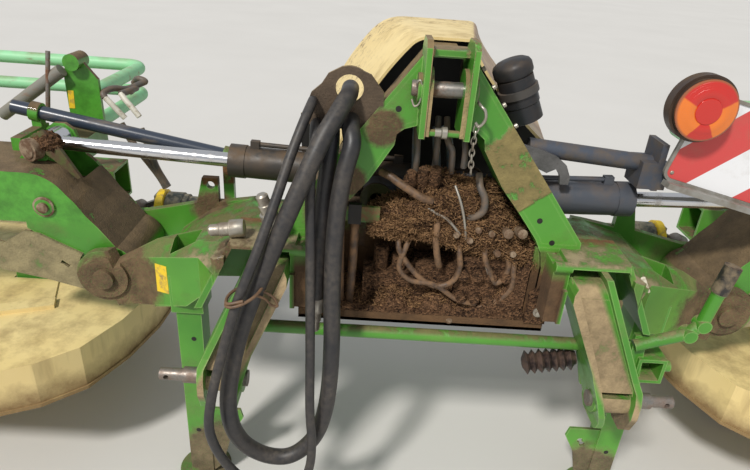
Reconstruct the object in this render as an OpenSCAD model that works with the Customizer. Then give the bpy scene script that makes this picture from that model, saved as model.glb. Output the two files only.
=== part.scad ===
// Rear-mounted twin-wing disc mower, both wings lowered and the headstock on its parking stands.
// Millimetres. X runs across the machine, Y to its rear, Z up from the ground.
// Every module is drawn with Y = 0 on the lower hitch pins, and placed() shifts it to the machine's middle.

/* [Hitch] */
// Height of the two lower hitch pins above the ground
pin_z = 490; // [440:5:540]
// Distance between the shoulders of the lower hitch pins
hitch_w = 965; // [920:5:1010]
// Diameter of the lower pin next to its bracket
pin_big_d = 36.6; // [30:0.1:42]
// Diameter of the outer end of the lower pin
pin_small_d = 28; // [20:0.5:30]
// Length of the large step of the lower pin
pin_big_l = 42; // [30:1:60]
// Length of the small step of the lower pin
pin_small_l = 52; // [40:1:80]
// Height of the upper link pin
top_pin_z = 1130; // [1080:5:1160]
// Diameter of the upper link pin
top_pin_d = 31.75; // [25:0.05:38]
// Free gap between the cheeks of the upper link clevis
top_gap = 68; // [56:1:80]
// Thickness of the hitch bracket plates
hitch_t = 14; // [10:1:20]

/* [Tower] */
// Half width of the tower at its foot
tower_foot_x = 328; // [300:2:350]
// Height at which the tower legs meet the main beam
tower_foot_z = 810; // [780:2:820]
// Height of the top of the tower
tower_top_z = 1187; // [1160:1:1210]
// Depth of the folded tower leg
leg_d = 120; // [80:2:120]
// Distance from the lower pins back to the front face of the tower
tower_y = 105; // [95:1:110]
// Plate thickness of the tower and beam
plate_t = 10; // [8:1:14]

/* [Fold] */
// Distance of the wing's fold pin from the middle
fold_x = 760; // [740:2:780]
// Height of the wing's fold pin
fold_z = 615; // [600:1:630]
// Diameter of the fold pin
fold_pin_d = 50; // [40:1:60]
// Radius of the round end of the ears
ear_r = 68; // [58:1:72]
// Distance of the rod eye from the middle with the wing on the ground
eye_x = 925; // [910:1:940]
// Height of the rod eye with the wing on the ground
eye_z = 885; // [875:1:900]
// Outer diameter of the lift cylinder's barrel
barrel_d = 80; // [60:1:80]
// Diameter of the lift cylinder's rod
rod_d = 36; // [28:1:45]
// Distance past the middle at which the cylinder's foot is pinned
base_x = 120; // [100:2:140]
// Height of the pin at the cylinder's foot
base_z = 842; // [838:1:850]

/* [Mower unit] */
// Number of cutting discs in one unit
disc_n = 7; // [5:1:8]
// Distance from disc to disc
disc_pitch = 430; // [420:2:470]
// Distance of the first disc from the middle
disc_x0 = 1420; // [1380:5:1460]
// Distance from the lower pins back to the row of discs
disc_y = 560; // [520:5:600]
// Radius that the knife tips sweep
knife_r = 245; // [235:1:250]
// Thickness of the cutter bar
bar_h = 48; // [40:1:60]
// Width of the cutter bar
bar_w = 230; // [200:2:260]
// Height of the skids under the bar
skid_h = 40; // [25:1:50]
// Height of the hood's lower edge
hood_z = 290; // [270:2:310]
// Height of the hood's skirt
hood_h = 130; // [100:2:140]
// Wall thickness of the hood
hood_t = 6; // [4:0.5:8]
// Outer diameter of the guard tubes
guard_d = 42; // [30:1:48]
// Height of the upper guard tube
guard_z = 930; // [900:5:960]

/* [Stands] */
// Side of the square tube of a parking stand
stand_w = 60; // [50:1:66]
// Distance of a parking stand from the middle
stand_x = 552; // [545:1:560]
// Diameter of the foot plate of a stand
foot_d = 140; // [110:2:160]

/* [Hidden] */
SIDES = ["left", "right"];
DISC_NAMES = [for (s = SIDES, i = [1:disc_n]) str("disc_", s, "_", i)];
nose_y = -50;
guard_y = 1100;
guard_x0 = 960;
y_mid = (nose_y + guard_y + guard_d / 2) / 2;
seat = 0.3;
fit = 0.1;
green = "#3f9a35";
pale = "#a9d8b4";
cream = "#d9c68c";
steel = "#8d8b84";
dark = "#3a3a3c";

// lift cylinders lie side by side where they cross: each one's distance behind the lower pins
cyl_y = [367, 277];
cyl_gap = 8;
cyl_eye_w = 60;
lug_gap = 43.5;
boom_y0 = 222;
boom_y1 = 422;
ear_t = 20;
ear_front = [boom_y0 - 12 - ear_t, boom_y0 - 12];
ear_back = [boom_y1 + 6, boom_y1 + 6 + ear_t];
shaft_y = 600;
shaft_z = 490;
stand_y = 146;
hood_top = hood_z + hood_h;
bar_z = skid_h;
bar_top = bar_z + bar_h;
disc_last = disc_x0 + (disc_n - 1) * disc_pitch;
bar_x0 = disc_x0 - 350;
bar_x1 = disc_last + 300;
hood_x1 = disc_last + 300;
hood_y0 = 40;
hood_y1 = 1000;
carrier_y = 700;
carrier_z = 560;
carrier_w = 120;
hanger_x = (bar_x0 + bar_x1) / 2;
cyl_dx = eye_x + base_x;
cyl_dz = eye_z - base_z;
cyl_len = sqrt(cyl_dx * cyl_dx + cyl_dz * cyl_dz);
cyl_tilt = atan2(cyl_dz, cyl_dx);
gland_at = 608;

function unit(v) = v / norm(v);
// the outline p drawn t further in, its corners counter-clockwise
function inset(p, t) = let (n = len(p)) [for (i = [0:n - 1]) let (
    u = unit(p[i] - p[(i + n - 1) % n]), v = unit(p[(i + 1) % n] - p[i]))
    p[i] + t * [-u[1] - v[1], u[0] + v[0]] / (1 + u * v)];
module placed() {
    translate([0, -y_mid, 0]) children();
}
module side(s) {
    mirror([s < 0 ? 1 : 0, 0, 0]) children();
}
// a plate or bar whose front view is drawn in X and Z, from depth y0 to y1
module front_cut(y0, y1) {
    translate([0, y1, 0]) rotate([90, 0, 0]) linear_extrude(y1 - y0) children();
}
// a plate or bar whose side view is drawn in Y and Z, from x0 to x1
module side_cut(x0, x1) {
    translate([x0, 0, 0]) rotate([90, 0, 90]) linear_extrude(x1 - x0) children();
}
module rod_x(x0, x1, d, y, z, fn = 48) {
    translate([x0, y, z]) rotate([0, 90, 0]) cylinder(d = d, h = x1 - x0, $fn = fn);
}
module rod_y(y0, y1, d, x, z, fn = 48) {
    translate([x, y0, z]) rotate([-90, 0, 0]) cylinder(d = d, h = y1 - y0, $fn = fn);
}

// Tower: two folded legs, the upper link clevis, the tray and the cross members between the main beams
clevis_t = 12;
doubler_t = 8;
clevis_x = top_gap / 2;
jamb_x = 258;
beam_x0 = 284;
beam_top_z = 790;
tray_z = 590;
cross_y = 95;
cross_z = 567;
leg_outline = [[jamb_x - 6, 660], [beam_x0, 660], [beam_x0, tower_foot_z], [tower_foot_x, tower_foot_z],
    [tower_foot_x, tower_foot_z + 14], [50, tower_top_z], [50, 1060], [70, 1052], [84, 1040], [88, 1018],
    [137, 939], [184, 883], [226, 828], [244, 795], [jamb_x - 6, 758]];
module tower_leg() {
    difference() {
        front_cut(tower_y, tower_y + leg_d) polygon(leg_outline);
        front_cut(tower_y + plate_t, tower_y + leg_d + 1) polygon(inset(leg_outline, plate_t - 1));
        rod_x(49, 140, 60, tower_y + 20, top_pin_z);
        rod_y(tower_y - 1, tower_y + plate_t + 1, 12, 208, 905, 24);
        rod_y(tower_y - 1, tower_y + plate_t + 1, 12, 246, 858, 24);
    }
}
// one cheek of the clevis with the shorter doubler welded inside it
module clevis_cheek() {
    y0 = tower_y - 26;
    cheek = [[y0, 1042], [y0 + 105, 1042], [y0 + 105, 1215], [y0 + 76, 1238], [y0 + 18, 1238], [y0, 1225]];
    difference() {
        union() {
            side_cut(clevis_x + doubler_t, clevis_x + doubler_t + clevis_t) polygon(cheek);
            side_cut(clevis_x, clevis_x + doubler_t + 1) union() {
                translate([y0 + 4, 1046]) square([84, 84]);
                translate([tower_y + 20, top_pin_z]) circle(d = 84, $fn = 64);
            }
            rod_x(clevis_x + doubler_t, clevis_x + doubler_t + clevis_t + 8, 60, tower_y + 20, top_pin_z);
        }
        rod_x(clevis_x - 1, clevis_x + 50, top_pin_d + 2 * fit, tower_y + 20, top_pin_z);
    }
}
// dirty tray under the valves with its front lip, its back plates and the box beam between the main beams
module tower_tray() {
    translate([-beam_x0, tower_y, tray_z]) cube([2 * beam_x0, 158, 8]);
    translate([-beam_x0, tower_y, tray_z]) cube([2 * beam_x0, 8, 26]);
    translate([-beam_x0, 262, cross_z]) cube([2 * beam_x0, 138, 10]);
    difference() {
        translate([-beam_x0, 262, cross_z]) cube([2 * beam_x0, 138, beam_top_z - cross_z]);
        translate([-beam_x0 - 1, 272, cross_z + 10]) cube([2 * beam_x0 + 2, 118, beam_top_z - cross_z - 20]);
    }
    for (s = [-1, 1]) side(s) difference() {
        translate([236, tower_y + 14, tray_z + 1]) cube([beam_x0 - 236, 8, 210]);
        rod_y(tower_y, tower_y + 40, 14, 269, 641, 24);
    }
}
// round tube between the inner plates of both hitch brackets, its ends cut along them
module cross_tube() {
    difference() {
        rod_x(-390, 390, 30, cross_y, cross_z, 48);
        for (s = [-1, 1]) side(s) front_cut(60, 140) translate([-0.3, 0]) polygon(bracket_inner_face);
    }
}
// ring plate that holds the ends of the tractor's hoses beside the left leg
module hose_holder() {
    lobe = [[-110, 1128], [-128, 1034], [-276, 1028], [-284, 1096], [-240, 1146], [-190, 1166]];
    difference() {
        front_cut(hose_face, hose_face + 10) union() {
            polygon(lobe);
            translate([-190, 1116]) circle(r = 54, $fn = 64);
        }
        rod_y(hose_face - 1, hose_face + 11, 56, -190, 1116);
    }
}
module hood_carrier() {
    translate([-30, 150, 1196]) cube([60, 190, 8]);
    translate([-30, 330, 1196]) cube([60, 10, cover_top - cover_t - seat - 1196]);
}
// grey hook plate behind the right leg, where the drive shaft is hung up
module hook_plate() {
    hook = [[170, 1008], [196, 1010], [283, 970], [325, 944], [340, 900], [337, 862], [316, 858],
        [310, 905], [290, 925], [270, 918], [252, 890], [232, 905]];
    difference() {
        front_cut(tower_y + leg_d - 5, tower_y + leg_d + 7) polygon(hook);
        rod_y(tower_y + leg_d - 6, tower_y + leg_d + 8, 16, 268, 948, 24);
    }
}
module canister_clamp() {
    canister_place(62) difference() {
        cylinder(d = canister_d + 12, h = 18, $fn = 64);
        translate([0, 0, -1]) cylinder(d = canister_d + 0.6, h = 20, $fn = 64);
    }
    // its foot on the flange of the right leg
    canister_place(63) translate([-64, -37, 0]) cube([32, 14, 16]);
}
module tower() {
    color(green) placed() {
        for (s = [-1, 1]) side(s) {
            tower_leg();
            clevis_cheek();
        }
        translate([-clevis_x - 9, tower_y + 25, 1192]) cube([2 * clevis_x + 18, 60, 12]);
        rod_x(-clevis_x - 1, clevis_x + 1, 14, tower_y - 12, 1052, 32);
        tower_tray();
        cross_tube();
        hose_holder();
        hood_carrier();
        hook_plate();
        canister_clamp();
        cylinder_anchors();
    }
}
// the feet of both lift cylinders are pinned between upright plates on the box beam
module cylinder_anchors() {
    for (k = [0, 1]) {
        x = (k == 0 ? 1 : -1) * base_x;
        for (m = [-1, 1]) {
            y = cyl_y[k] + m * (cyl_eye_w / 2 + 1) - (m < 0 ? cyl_gap : 0);
            difference() {
                union() {
                    front_cut(y, y + cyl_gap) translate([x - 38, beam_top_z - 1]) square([76, base_z - beam_top_z + 1]);
                    rod_y(y, y + cyl_gap, 76, x, base_z);
                }
                rod_y(y - 1, y + cyl_gap + 1, 30, x, base_z);
            }
        }
        y0 = cyl_y[k] - cyl_eye_w / 2 - 1 - cyl_gap;
        rod_y(y0, y0 + cyl_eye_w + 2 + 2 * cyl_gap, 30, x, base_z);
    }
}

// Main beam: a folded portal for the hitch bracket and a tapered box out to the ears of the fold pin
portal_y0 = 30;
portal_d = 130;
portal_in = [[294, 800], [412, 800], [488, 640], [294, 640]];
portal_out = [[beam_x0, tower_foot_z], [420, tower_foot_z], [504, 640], [beam_x0, 660]];
beam_plan = [[beam_x0, 32], [450, 30], [504, 98], [690, ear_front[0] + 2], [690, ear_front[1]],
    [640, ear_front[1]], [640, 430], [beam_x0, 430]];
beam_face = [[beam_x0, 745], [450, 738], [560, 702], [640, 640], [640, 552], [547, 590], [489, 650], [beam_x0, 662]];
nose_plan = [[430, 30], [450, 30], [504, 98], [690, ear_front[0]], [700, ear_front[1]], [430, ear_front[1]]];
nose_face = [[430, 778], [450, 772], [618, 722], [690, 694], [738, 532], [683, 543], [547, 590], [489, 650], [430, 660]];
ear_face = [[420, 742], [450, 738], [690, 694], [fold_x + 14, fold_z + ear_r - 2], [fold_x - 16, fold_z - ear_r + 2],
    [738, 532], [683, 543], [547, 590], [489, 656], [420, 660]];
rear_ear = [[420, 742], [450, 738], [540, 722], [540, 790], [582, 790], [600, 716], [736, 684], [fold_x + 14, fold_z + ear_r - 2],
    [fold_x - 16, fold_z - ear_r + 2], [738, 550], [547, 610], [489, 656], [420, 660]];
module beam_side() {
    difference() {
        union() {
            intersection() {
                translate([0, 0, 400]) linear_extrude(500) polygon(beam_plan);
                front_cut(20, 440) polygon(beam_face);
            }
            intersection() {
                translate([0, 0, 400]) linear_extrude(500) polygon(nose_plan);
                front_cut(20, 440) polygon(nose_face);
            }
            front_cut(portal_y0 + 12, portal_y0 + portal_d) polygon(portal_out);
            rod_x(jamb_x, 416, 24, portal_y0 + 12, tower_foot_z - 12);
            translate([jamb_x, portal_y0 + 12, 660]) cube([beam_x0 - jamb_x + 1, tower_y - portal_y0 - 12, tower_foot_z - 672]);
            front_cut(ear_front[0], ear_front[1]) polygon(ear_face);
            front_cut(ear_back[0], ear_back[1]) polygon(rear_ear);
            for (e = [ear_front, ear_back]) rod_y(e[0], e[1], 2 * ear_r, fold_x, fold_z, 64);
            translate([stand_x - stand_w / 2 - 8, stand_y - 8, 558]) cube([stand_w + 16, stand_w + 16, 100]);
            rod_y(ear_front[0] - 8, ear_front[0] + 1, 112, fold_x, fold_z, 64);
        }
        front_cut(20, portal_y0 + portal_d + 5) polygon(portal_in);
        // sheet-metal chamfer along the sloping top of the front panel
        translate([504, 98, 735]) rotate([0, 15.5, 28.3]) rotate([35, 0, 0]) translate([-70, -80, 0]) cube([330, 160, 90]);
        translate([stand_x - stand_w / 2 - 0.4, stand_y - 0.4, 400]) cube([stand_w + 0.8, stand_w + 0.8, 400]);
        rod_y(ear_back[0] - 1, ear_back[1] + 1, 22, 560, 770, 32);
    }
    rod_y(ear_front[0] - 20, ear_back[1] + 12, fold_pin_d, fold_x, fold_z);
    rod_y(ear_back[1], ear_back[1] + 12, 70, fold_x, fold_z);
}
// clamp on the rear ear that holds the inner end of the hose sleeve
module sleeve_clamp() {
    difference() {
        union() {
            translate([502, ear_back[1] - 1, 700]) cube([28, 20, 140]);
            sleeve_place(0) rod_x(-16, 16, sleeve_d + 14, 0, 0);
        }
        sleeve_place(0) rod_x(-30, 30, sleeve_d + 0.6, 0, 0);
        translate([490, ear_back[0] - 1, 690]) cube([60, ear_t + 0.99, 200]);
    }
}
module beam_left() {
    color(green) placed() side(-1) {
        beam_side();
        sleeve_clamp();
    }
}
module beam_right() {
    color(green) placed() side(1) beam_side();
}

// Hitch bracket: a leaning channel that hangs in the portal and carries the lower pin
bracket_x1 = hitch_w / 2;
bracket_inner_face = [[294, 740], [367, 575], [404, 450], [440, 450], [440, 740]];
module hitch_bracket_side() {
    x1 = bracket_x1;
    outer = [[352, 799], [366, 799], [x1, 540], [x1, 412], [x1 - hitch_t, 412], [x1 - hitch_t, 536]];
    inner = [[294, 760], [300, 775], [380, 580], [418, 450], [418, 425], [404, 425], [404, 450], [367, 575], [294, 740]];
    web = [[300, 775], [330, 799], [360, 799], [x1 - 2, 540], [x1 - 2, 455], [410, 440], [373, 578]];
    between = [[297, 770], [302, 800], [358, 800], [x1 - 4, 540], [x1 - 4, 520], [400, 520], [374, 578]];
    profile = [[20, 799], [-5, 799], [-30, 560], [-48, 515], [-50, 475], [-34, 432], [-6, 406], [24, 406], [70, 440],
        [112, 560], [112, 799]];
    skin = [[8, 745], [-14, 560], [-26, 520], [-16, 518], [-4, 560], [18, 745]];
    difference() {
        union() {
            intersection() {
                front_cut(-60, 118) union() {
                    polygon(outer);
                    polygon(inner);
                }
                side_cut(280, 500) polygon(profile);
            }
            front_cut(104, 116) polygon(web);
            intersection() {
                front_cut(-40, 112) polygon(between);
                side_cut(290, 480) union() {
                    polygon(skin);
                    translate([38, 763.3]) square([72, 9.4]);
                    difference() {
                        translate([38, 744]) circle(r = 29, $fn = 64);
                        translate([38, 744]) circle(r = 19, $fn = 64);
                        translate([38, 700]) square([40, 68]);
                        translate([0, 700]) square([60, 44]);
                    }
                }
            }
            rod_x(390, x1, 62, 0, pin_z);
        }
        rod_x(380, x1 + 1, pin_big_d, 0, pin_z);
        rod_y(90, 130, 44, 392, 655, 32);
        intersection() {
            rod_x(360, x1 - hitch_t, 88, 0, pin_z, 64);
            translate([360, -40, pin_z + 20]) cube([200, 40, 60]);
            front_cut(-45, 5) polygon([[404, 450], [420, 440], [x1 - hitch_t - 1, 440], [x1 - hitch_t - 1, 560], [388, 560]]);
        }
    }
}
// plate between the right bracket and the socket beside it
module socket_gusset() {
    x1 = bracket_x1;
    front_cut(55, 67) polygon([[x1 - 2, 628], [x1 + 24, 628], [x1 + 40, 480], [x1 + 24, 470], [x1 - 2, 540]]);
}
// open square socket beside the bracket
module square_socket() {
    x0 = bracket_x1 + 18;
    difference() {
        translate([x0, 45, 504]) cube([66, 62, 66]);
        translate([x0 + 8, 44, 512]) cube([50, 54, 50]);
    }
    rod_x(x0 + 65, x0 + 84, 26, 66, 540, 32);
}
// latch handle of three round bars that leaves the bracket sideways and turns upwards over two knuckles
handle_d = 28;
knuckle_d = 31;
module bar_between_knuckles(start, l) {
    rod_x(start, l - 4.5, handle_d, 0, 0);
    rod_y(-knuckle_d / 2, knuckle_d / 2, knuckle_d, l, 0);
}
module bent_handle() {
    lean = 20;
    reach = 118;
    rise = 62;
    step = 36;
    translate([bracket_x1 - 3, 50, 604]) rotate([0, -lean, 0]) {
        bar_between_knuckles(0, reach);
        translate([reach, 0, 0]) rotate([0, -rise / 2, 0]) {
            bar_between_knuckles(4.5, step);
            translate([step, 0, 0]) rotate([0, -rise / 2, 0]) {
                rod_x(4.5, 84, handle_d, 0, 0);
                rod_x(82, 144, handle_d + 5, 0, 0);
            }
        }
    }
}
module hitch_bracket_left() {
    color(green) placed() side(-1) hitch_bracket_side();
}
module hitch_bracket_right() {
    color(green) placed() side(1) {
        hitch_bracket_side();
        socket_gusset();
        square_socket();
        bent_handle();
    }
}
module lower_pin_side() {
    x1 = hitch_w / 2;
    difference() {
        union() {
            rod_x(382, x1 + pin_big_l, pin_big_d, 0, pin_z);
            rod_x(x1 + pin_big_l, x1 + pin_big_l + pin_small_l, pin_small_d, 0, pin_z);
        }
        rod_y(-30, 30, 12, x1 + pin_big_l + pin_small_l - 16, pin_z, 24);
    }
}
module lower_pin_left() {
    color(steel) placed() side(-1) lower_pin_side();
}
module lower_pin_right() {
    color(steel) placed() side(1) lower_pin_side();
}
module top_link_pin() {
    reach = clevis_x + doubler_t + clevis_t + 8;
    color(steel) placed() {
        rod_x(-reach - 26, reach + 12, top_pin_d, tower_y + 20, top_pin_z);
        rod_x(reach, reach + 12, 52, tower_y + 20, top_pin_z);
    }
}

// Centre: angle gearbox with its input stub, valve block, cover, accumulator
gear_x = 150;
stub_z = 470;
module gearbox() {
    color(green) placed() {
        translate([-gear_x, 402, 400]) cube([2 * gear_x, 330, 288]);
        rod_y(380, 403, 110, 0, stub_z);
        rod_y(300, 381, 34.9, 0, stub_z);
        rod_x(-gear_x - 40, gear_x + 40, 130, shaft_y, fold_z);
    }
}
module inner_shafts() {
    color(steel) placed() for (s = [-1, 1]) side(s) {
        rod_x(gear_x + 40, fold_x - 60, 60, shaft_y, fold_z);
        rod_x(fold_x - 60, fold_x - 30, 90, shaft_y, fold_z);
        for (m = [-1, 1]) translate([fold_x - 32, shaft_y - 20, fold_z + m * 36 - 9]) cube([46, 40, 18]);
        translate([fold_x, shaft_y, fold_z - 30]) cylinder(d = 20, h = 60, $fn = 32);
        rod_y(shaft_y - 44, shaft_y + 44, 20, fold_x, fold_z, 32);
    }
}
valve_z = tray_z + 8 + seat;
module valve_block() {
    color(steel) placed() {
        translate([70, 132, valve_z]) cube([160, 90, 160]);
        translate([-20, 150, valve_z]) cube([91, 70, 120]);
        translate([-140, 160, valve_z]) cube([121, 60, 90]);
        for (i = [0:4], z = [720, 660]) rod_y(112, 134, 24, 86 + 32 * i, z, 24);
        for (i = [0:2]) translate([-100 + 44 * i, 190, valve_z]) cylinder(d = 34, h = 150 - 20 * i, $fn = 32);
    }
}
// moulded cover over the tower: an arch with round shoulders and a rim at its front
cover_y = [290, 640];
cover_foot_x = 302;
cover_foot_z = 930;
cover_top = 1244;
cover_t = 6;
cover_r = 108;
cover_flat = 90;
module cover_shape(t) {
    r = cover_r - t;
    cz = cover_top - cover_r;
    low = cover_foot_z - (t > 0 ? 2 : 0);
    half = [[cover_foot_x - 1.1 * t, low], [cover_flat + 0.907 * r, cz + 0.422 * r], [cover_flat, cover_top - t]];
    polygon(concat(half, [for (i = [2:-1:0]) [-half[i][0], half[i][1]]]));
    for (m = [-1, 1]) translate([m * cover_flat, cz]) circle(r = r, $fn = 96);
}
module centre_hood() {
    color(cream) placed() {
        difference() {
            front_cut(cover_y[0], cover_y[1]) cover_shape(0);
            front_cut(cover_y[0] + cover_t, cover_y[1] + 1) cover_shape(cover_t);
            front_cut(cover_y[0] - 1, cover_y[0] + cover_t + 1) cover_shape(32);
        }
    }
}
canister_d = 78;
canister_l = 134;
module canister_place(h) {
    translate([206, 243, 1045]) rotate([0, -22, 0]) translate([0, 0, h]) children();
}
module canister() {
    color(dark) placed() {
        canister_place(0) cylinder(d = canister_d - 4, h = 40, $fn = 64);
        canister_place(38) cylinder(d = canister_d, h = canister_l - 38 - 12, $fn = 64);
        canister_place(canister_l - 13) cylinder(d = canister_d - 6, h = 13, $fn = 64);
    }
}
// striped marker board on its tube from the tower, turned a little downwards at its outer end
board_at = [502, 952];
board_tilt = -13.5;
board_w = 400;
board_h = 205;
board_y = 200;
module board_shape(t) {
    r = 26 - t;
    translate([t, 26]) square([board_w - 2 * t, board_h - 52]);
    translate([26, t]) square([board_w - 52, board_h - 2 * t]);
    for (x = [26, board_w - 26], z = [26, board_h - 26]) translate([x, z]) circle(r = r, $fn = 48);
}
module board_place() {
    translate([board_at[0], 0, board_at[1]]) rotate([0, -board_tilt, 0]) children();
}
module marker_board() {
    color("white") placed() {
        board_place() {
            front_cut(board_y, board_y + 4) board_shape(0);
            difference() {
                front_cut(board_y - 4, board_y + 1) board_shape(0);
                front_cut(board_y - 5, board_y + 2) board_shape(7);
            }
            translate([14, board_y - 26, -12]) cube([board_w - 28, 32, 13]);
            translate([20, board_y, 20]) cube([26, 34, 120]);
        }
        translate([466, 214, 918]) cube([62, 76, 62]);
        marker_tube();
        translate([499, 214, 915]) cube([14, 78, 108]);
    }
}
module marker_tube() {
    translate([213, 252.2, 989]) rotate([0, 4.5, 0]) rotate([0, 90, 0]) cylinder(d = 40, h = 300, $fn = 64);
}
module lamp() {
    color("red") placed() {
        rod_y(170, board_y - 4 - seat, 140, 535, 1116, 96);
        rod_y(160, 171, 128, 535, 1116, 96);
    }
}

// Parking stands: a square tube that slides in the beam and a round foot
stand_top = 600;
module stand_side() {
    gusset = [[stand_x - 29, 250], [441, 250], [434, 222], [466, 165], [495, 49], [stand_x - 29, 20]];
    translate([stand_x - stand_w / 2, stand_y, 11]) cube([stand_w, stand_w, stand_top - 11]);
    translate([stand_x, stand_y + stand_w / 2, 0]) cylinder(d = foot_d, h = 12, $fn = 64);
    difference() {
        front_cut(stand_y + 4, stand_y + 12) polygon(gusset);
        rod_y(stand_y, stand_y + 20, 16, 476, 208, 24);
        rod_y(stand_y, stand_y + 20, 16, 484, 196, 24);
    }
}
module stand_left() {
    color(green) placed() side(-1) stand_side();
}
module stand_right() {
    color(green) placed() side(1) stand_side();
}

// Wing boom: a goose-neck box from the fold pin out to the hanger of the mower unit
neck_r = 100;
neck_at = [925, 758];
hollow_r = 122;
hollow_at = [1004, 611];
module neck_face() {
    difference() {
        union() {
            polygon([[fold_x - 30, fold_z + 50], [fold_x + 10, fold_z - ear_r + 4], [848, 628], [1000, 728],
                [hanger_x + 60, 740], [hanger_x + 60, 858], [neck_at[0], neck_at[1] + neck_r],
                [neck_at[0] - 60, neck_at[1] + 80], [neck_at[0] - 84, neck_at[1] + 54], [822, 790], [800, 756], [775, 727]]);
            translate(neck_at) circle(r = neck_r, $fn = 96);
        }
        translate(hollow_at) circle(r = hollow_r, $fn = 96);
        translate([hollow_at[0] - 60, 560]) square([1200, hollow_at[1] + hollow_r - 560]);
    }
}
// lower reinforcing plate in front of the boom, cut clear of the ear
module lower_plate() {
    difference() {
        front_cut(boom_y0 - 7, boom_y0 + 30) difference() {
            polygon([[fold_x + 24, 547], [836, 560], [915, 581], [1021, 602], [1060, 612], [1060, 690], [1005, 676], [951, 711],
                [916, 705], [861, 677], [fold_x + 24, 640]]);
            translate([866, 628]) rotate([0, 0, 35]) square([22, 9], center = true);
        }
        front_cut(boom_y0 + 2, boom_y0 + 31) polygon([[fold_x - 60, 500], [830, 550], [900, 590], [1052, 622], [1052, 720], [fold_x - 60, 720]]);
        rod_y(boom_y0 - 9, boom_y0 + 31, 2 * ear_r + 12, fold_x, fold_z, 96);
    }
}
module boom_side(k) {
    difference() {
        union() {
            front_cut(boom_y0, boom_y1) neck_face();
            rod_y(boom_y0, boom_y1, 2 * ear_r - 6, fold_x, fold_z, 64);
            lower_plate();
            for (m = [-1, 1]) {
                y = cyl_y[k] + m * lug_gap - (m < 0 ? 12 : 0);
                front_cut(y, y + 12) polygon([[868, 835], [990, 850], [962, 880], [fold_x + 200, 905], [940, 920], [912, 920], [893, 905]]);
                rod_y(y - (m < 0 ? 8 : 0), y + 12 + (m < 0 ? 0 : 8), 56, eye_x, eye_z);
            }
            translate([hanger_x - 60, boom_y0, 740]) cube([120, carrier_y - boom_y0, 118]);
            rod_y(boom_y0 - 6, boom_y0 + 1, 40, 893, 776, 48);
            translate([868, boom_y0 - 5, 770]) cube([26, 6, 12]);
            upright_bracket();
        }
        rod_y(boom_y0 - 9, boom_y1 + 1, fold_pin_d + 2 * fit, fold_x, fold_z);
        translate([eye_x - 84, cyl_y[k] - lug_gap, eye_z - 104]) cube([122, 2 * lug_gap, 120]);
        translate([780, cyl_y[k] - lug_gap, 835]) cube([165, 2 * lug_gap, 80]);
        rod_y(cyl_y[k] - 54, cyl_y[k] + 54, 36, eye_x, eye_z);
    }
}
// upright plate behind the boom that the guard tubes, their pivot and the strut meet
module upright_bracket() {
    front_cut(boom_y1 - 2, 612) difference() {
        polygon([[900, 800], [992, 800], [992, 858], [900, 858]]);
    }
    front_cut(600, 612) polygon([[900, 800], [992, 800], [992, 1000], [978, 1040], [940, 1040], [900, 990]]);
    rod_y(576, 640, 44, 956, 1036, 48);
}
// clamp on the left boom where the hose sleeve ends
module sleeve_end_clamp() {
    difference() {
        union() {
            translate([1002, boom_y1 - 60, 850]) cube([24, sleeve_y - boom_y1 + 60 + 26, 40]);
            translate([1002, sleeve_y - 12, 860]) cube([24, 24, 60]);
            sleeve_place(1) rod_x(-12, 12, sleeve_d + 14, 0, 0);
        }
        sleeve_place(1) rod_x(-40, 40, sleeve_d + 0.6, 0, 0);
    }
}
module boom_left() {
    color(green) placed() side(-1) {
        boom_side(0);
        sleeve_end_clamp();
    }
}
module boom_right() {
    color(green) placed() side(1) boom_side(1);
}

// Lift cylinder: barrel pinned past the middle, rod running out to the boom lugs
module along_cylinder() {
    translate([-base_x, 0, base_z]) rotate([0, -cyl_tilt, 0]) children();
}
module barrel_side(k) {
    along_cylinder() {
        difference() {
            union() {
                rod_x(50, gland_at - 40, barrel_d, cyl_y[k], 0, 64);
                rod_x(gland_at - 40, gland_at, barrel_d + 4, cyl_y[k], 0, 64);
                translate([-2, cyl_y[k] - cyl_eye_w / 2, -30]) cube([54, cyl_eye_w, 60]);
                rod_y(cyl_y[k] - cyl_eye_w / 2, cyl_y[k] + cyl_eye_w / 2, 64, 0, 0);
            }
            rod_y(cyl_y[k] - 50, cyl_y[k] + 50, 30 + 2 * fit, 0, 0);
            rod_x(60, gland_at + 1, rod_d + 2 * fit, cyl_y[k], 0, 64);
        }
        // oil pipe along the top of the barrel
        rod_x(190, gland_at - 60, 12, cyl_y[k], barrel_d / 2 + 9, 24);
        for (x = [180, gland_at - 72]) translate([x, cyl_y[k] - 9, barrel_d / 2 - 6]) cube([22, 18, 23]);
    }
}
// hose sleeve that crosses the fold of the left wing, from the clamp on the beam to the clamp on the boom
sleeve_d = 36;
sleeve_y = 476;
sleeve_in = [516, 838];
sleeve_out = [1014, 926];
module sleeve_place(k) {
    run = sleeve_out - sleeve_in;
    at = k == 0 ? sleeve_in : sleeve_out;
    translate([at[0], sleeve_y, at[1]]) rotate([0, -atan2(run[1], run[0]), 0]) children();
}
module sleeve_left() {
    color(dark) placed() side(-1) sleeve_place(0) rod_x(-60, norm(sleeve_out - sleeve_in) + 60, sleeve_d, 0, 0);
}
module rod_side(k) {
    along_cylinder() {
        rod_x(gland_at - 76, cyl_len - 24, rod_d, cyl_y[k], 0, 64);
        difference() {
            rod_y(cyl_y[k] - lug_gap + 1.5, cyl_y[k] + lug_gap - 1.5, 62, cyl_len, 0);
            rod_y(cyl_y[k] - lug_gap, cyl_y[k] + lug_gap, 36, cyl_len, 0);
        }
    }
}
module barrel_left() {
    color(dark) placed() side(-1) barrel_side(0);
}
module barrel_right() {
    color(dark) placed() side(1) barrel_side(1);
}
module rod_left() {
    color("silver") placed() side(-1) rod_side(0);
}
module rod_right() {
    color("silver") placed() side(1) rod_side(1);
}

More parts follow.
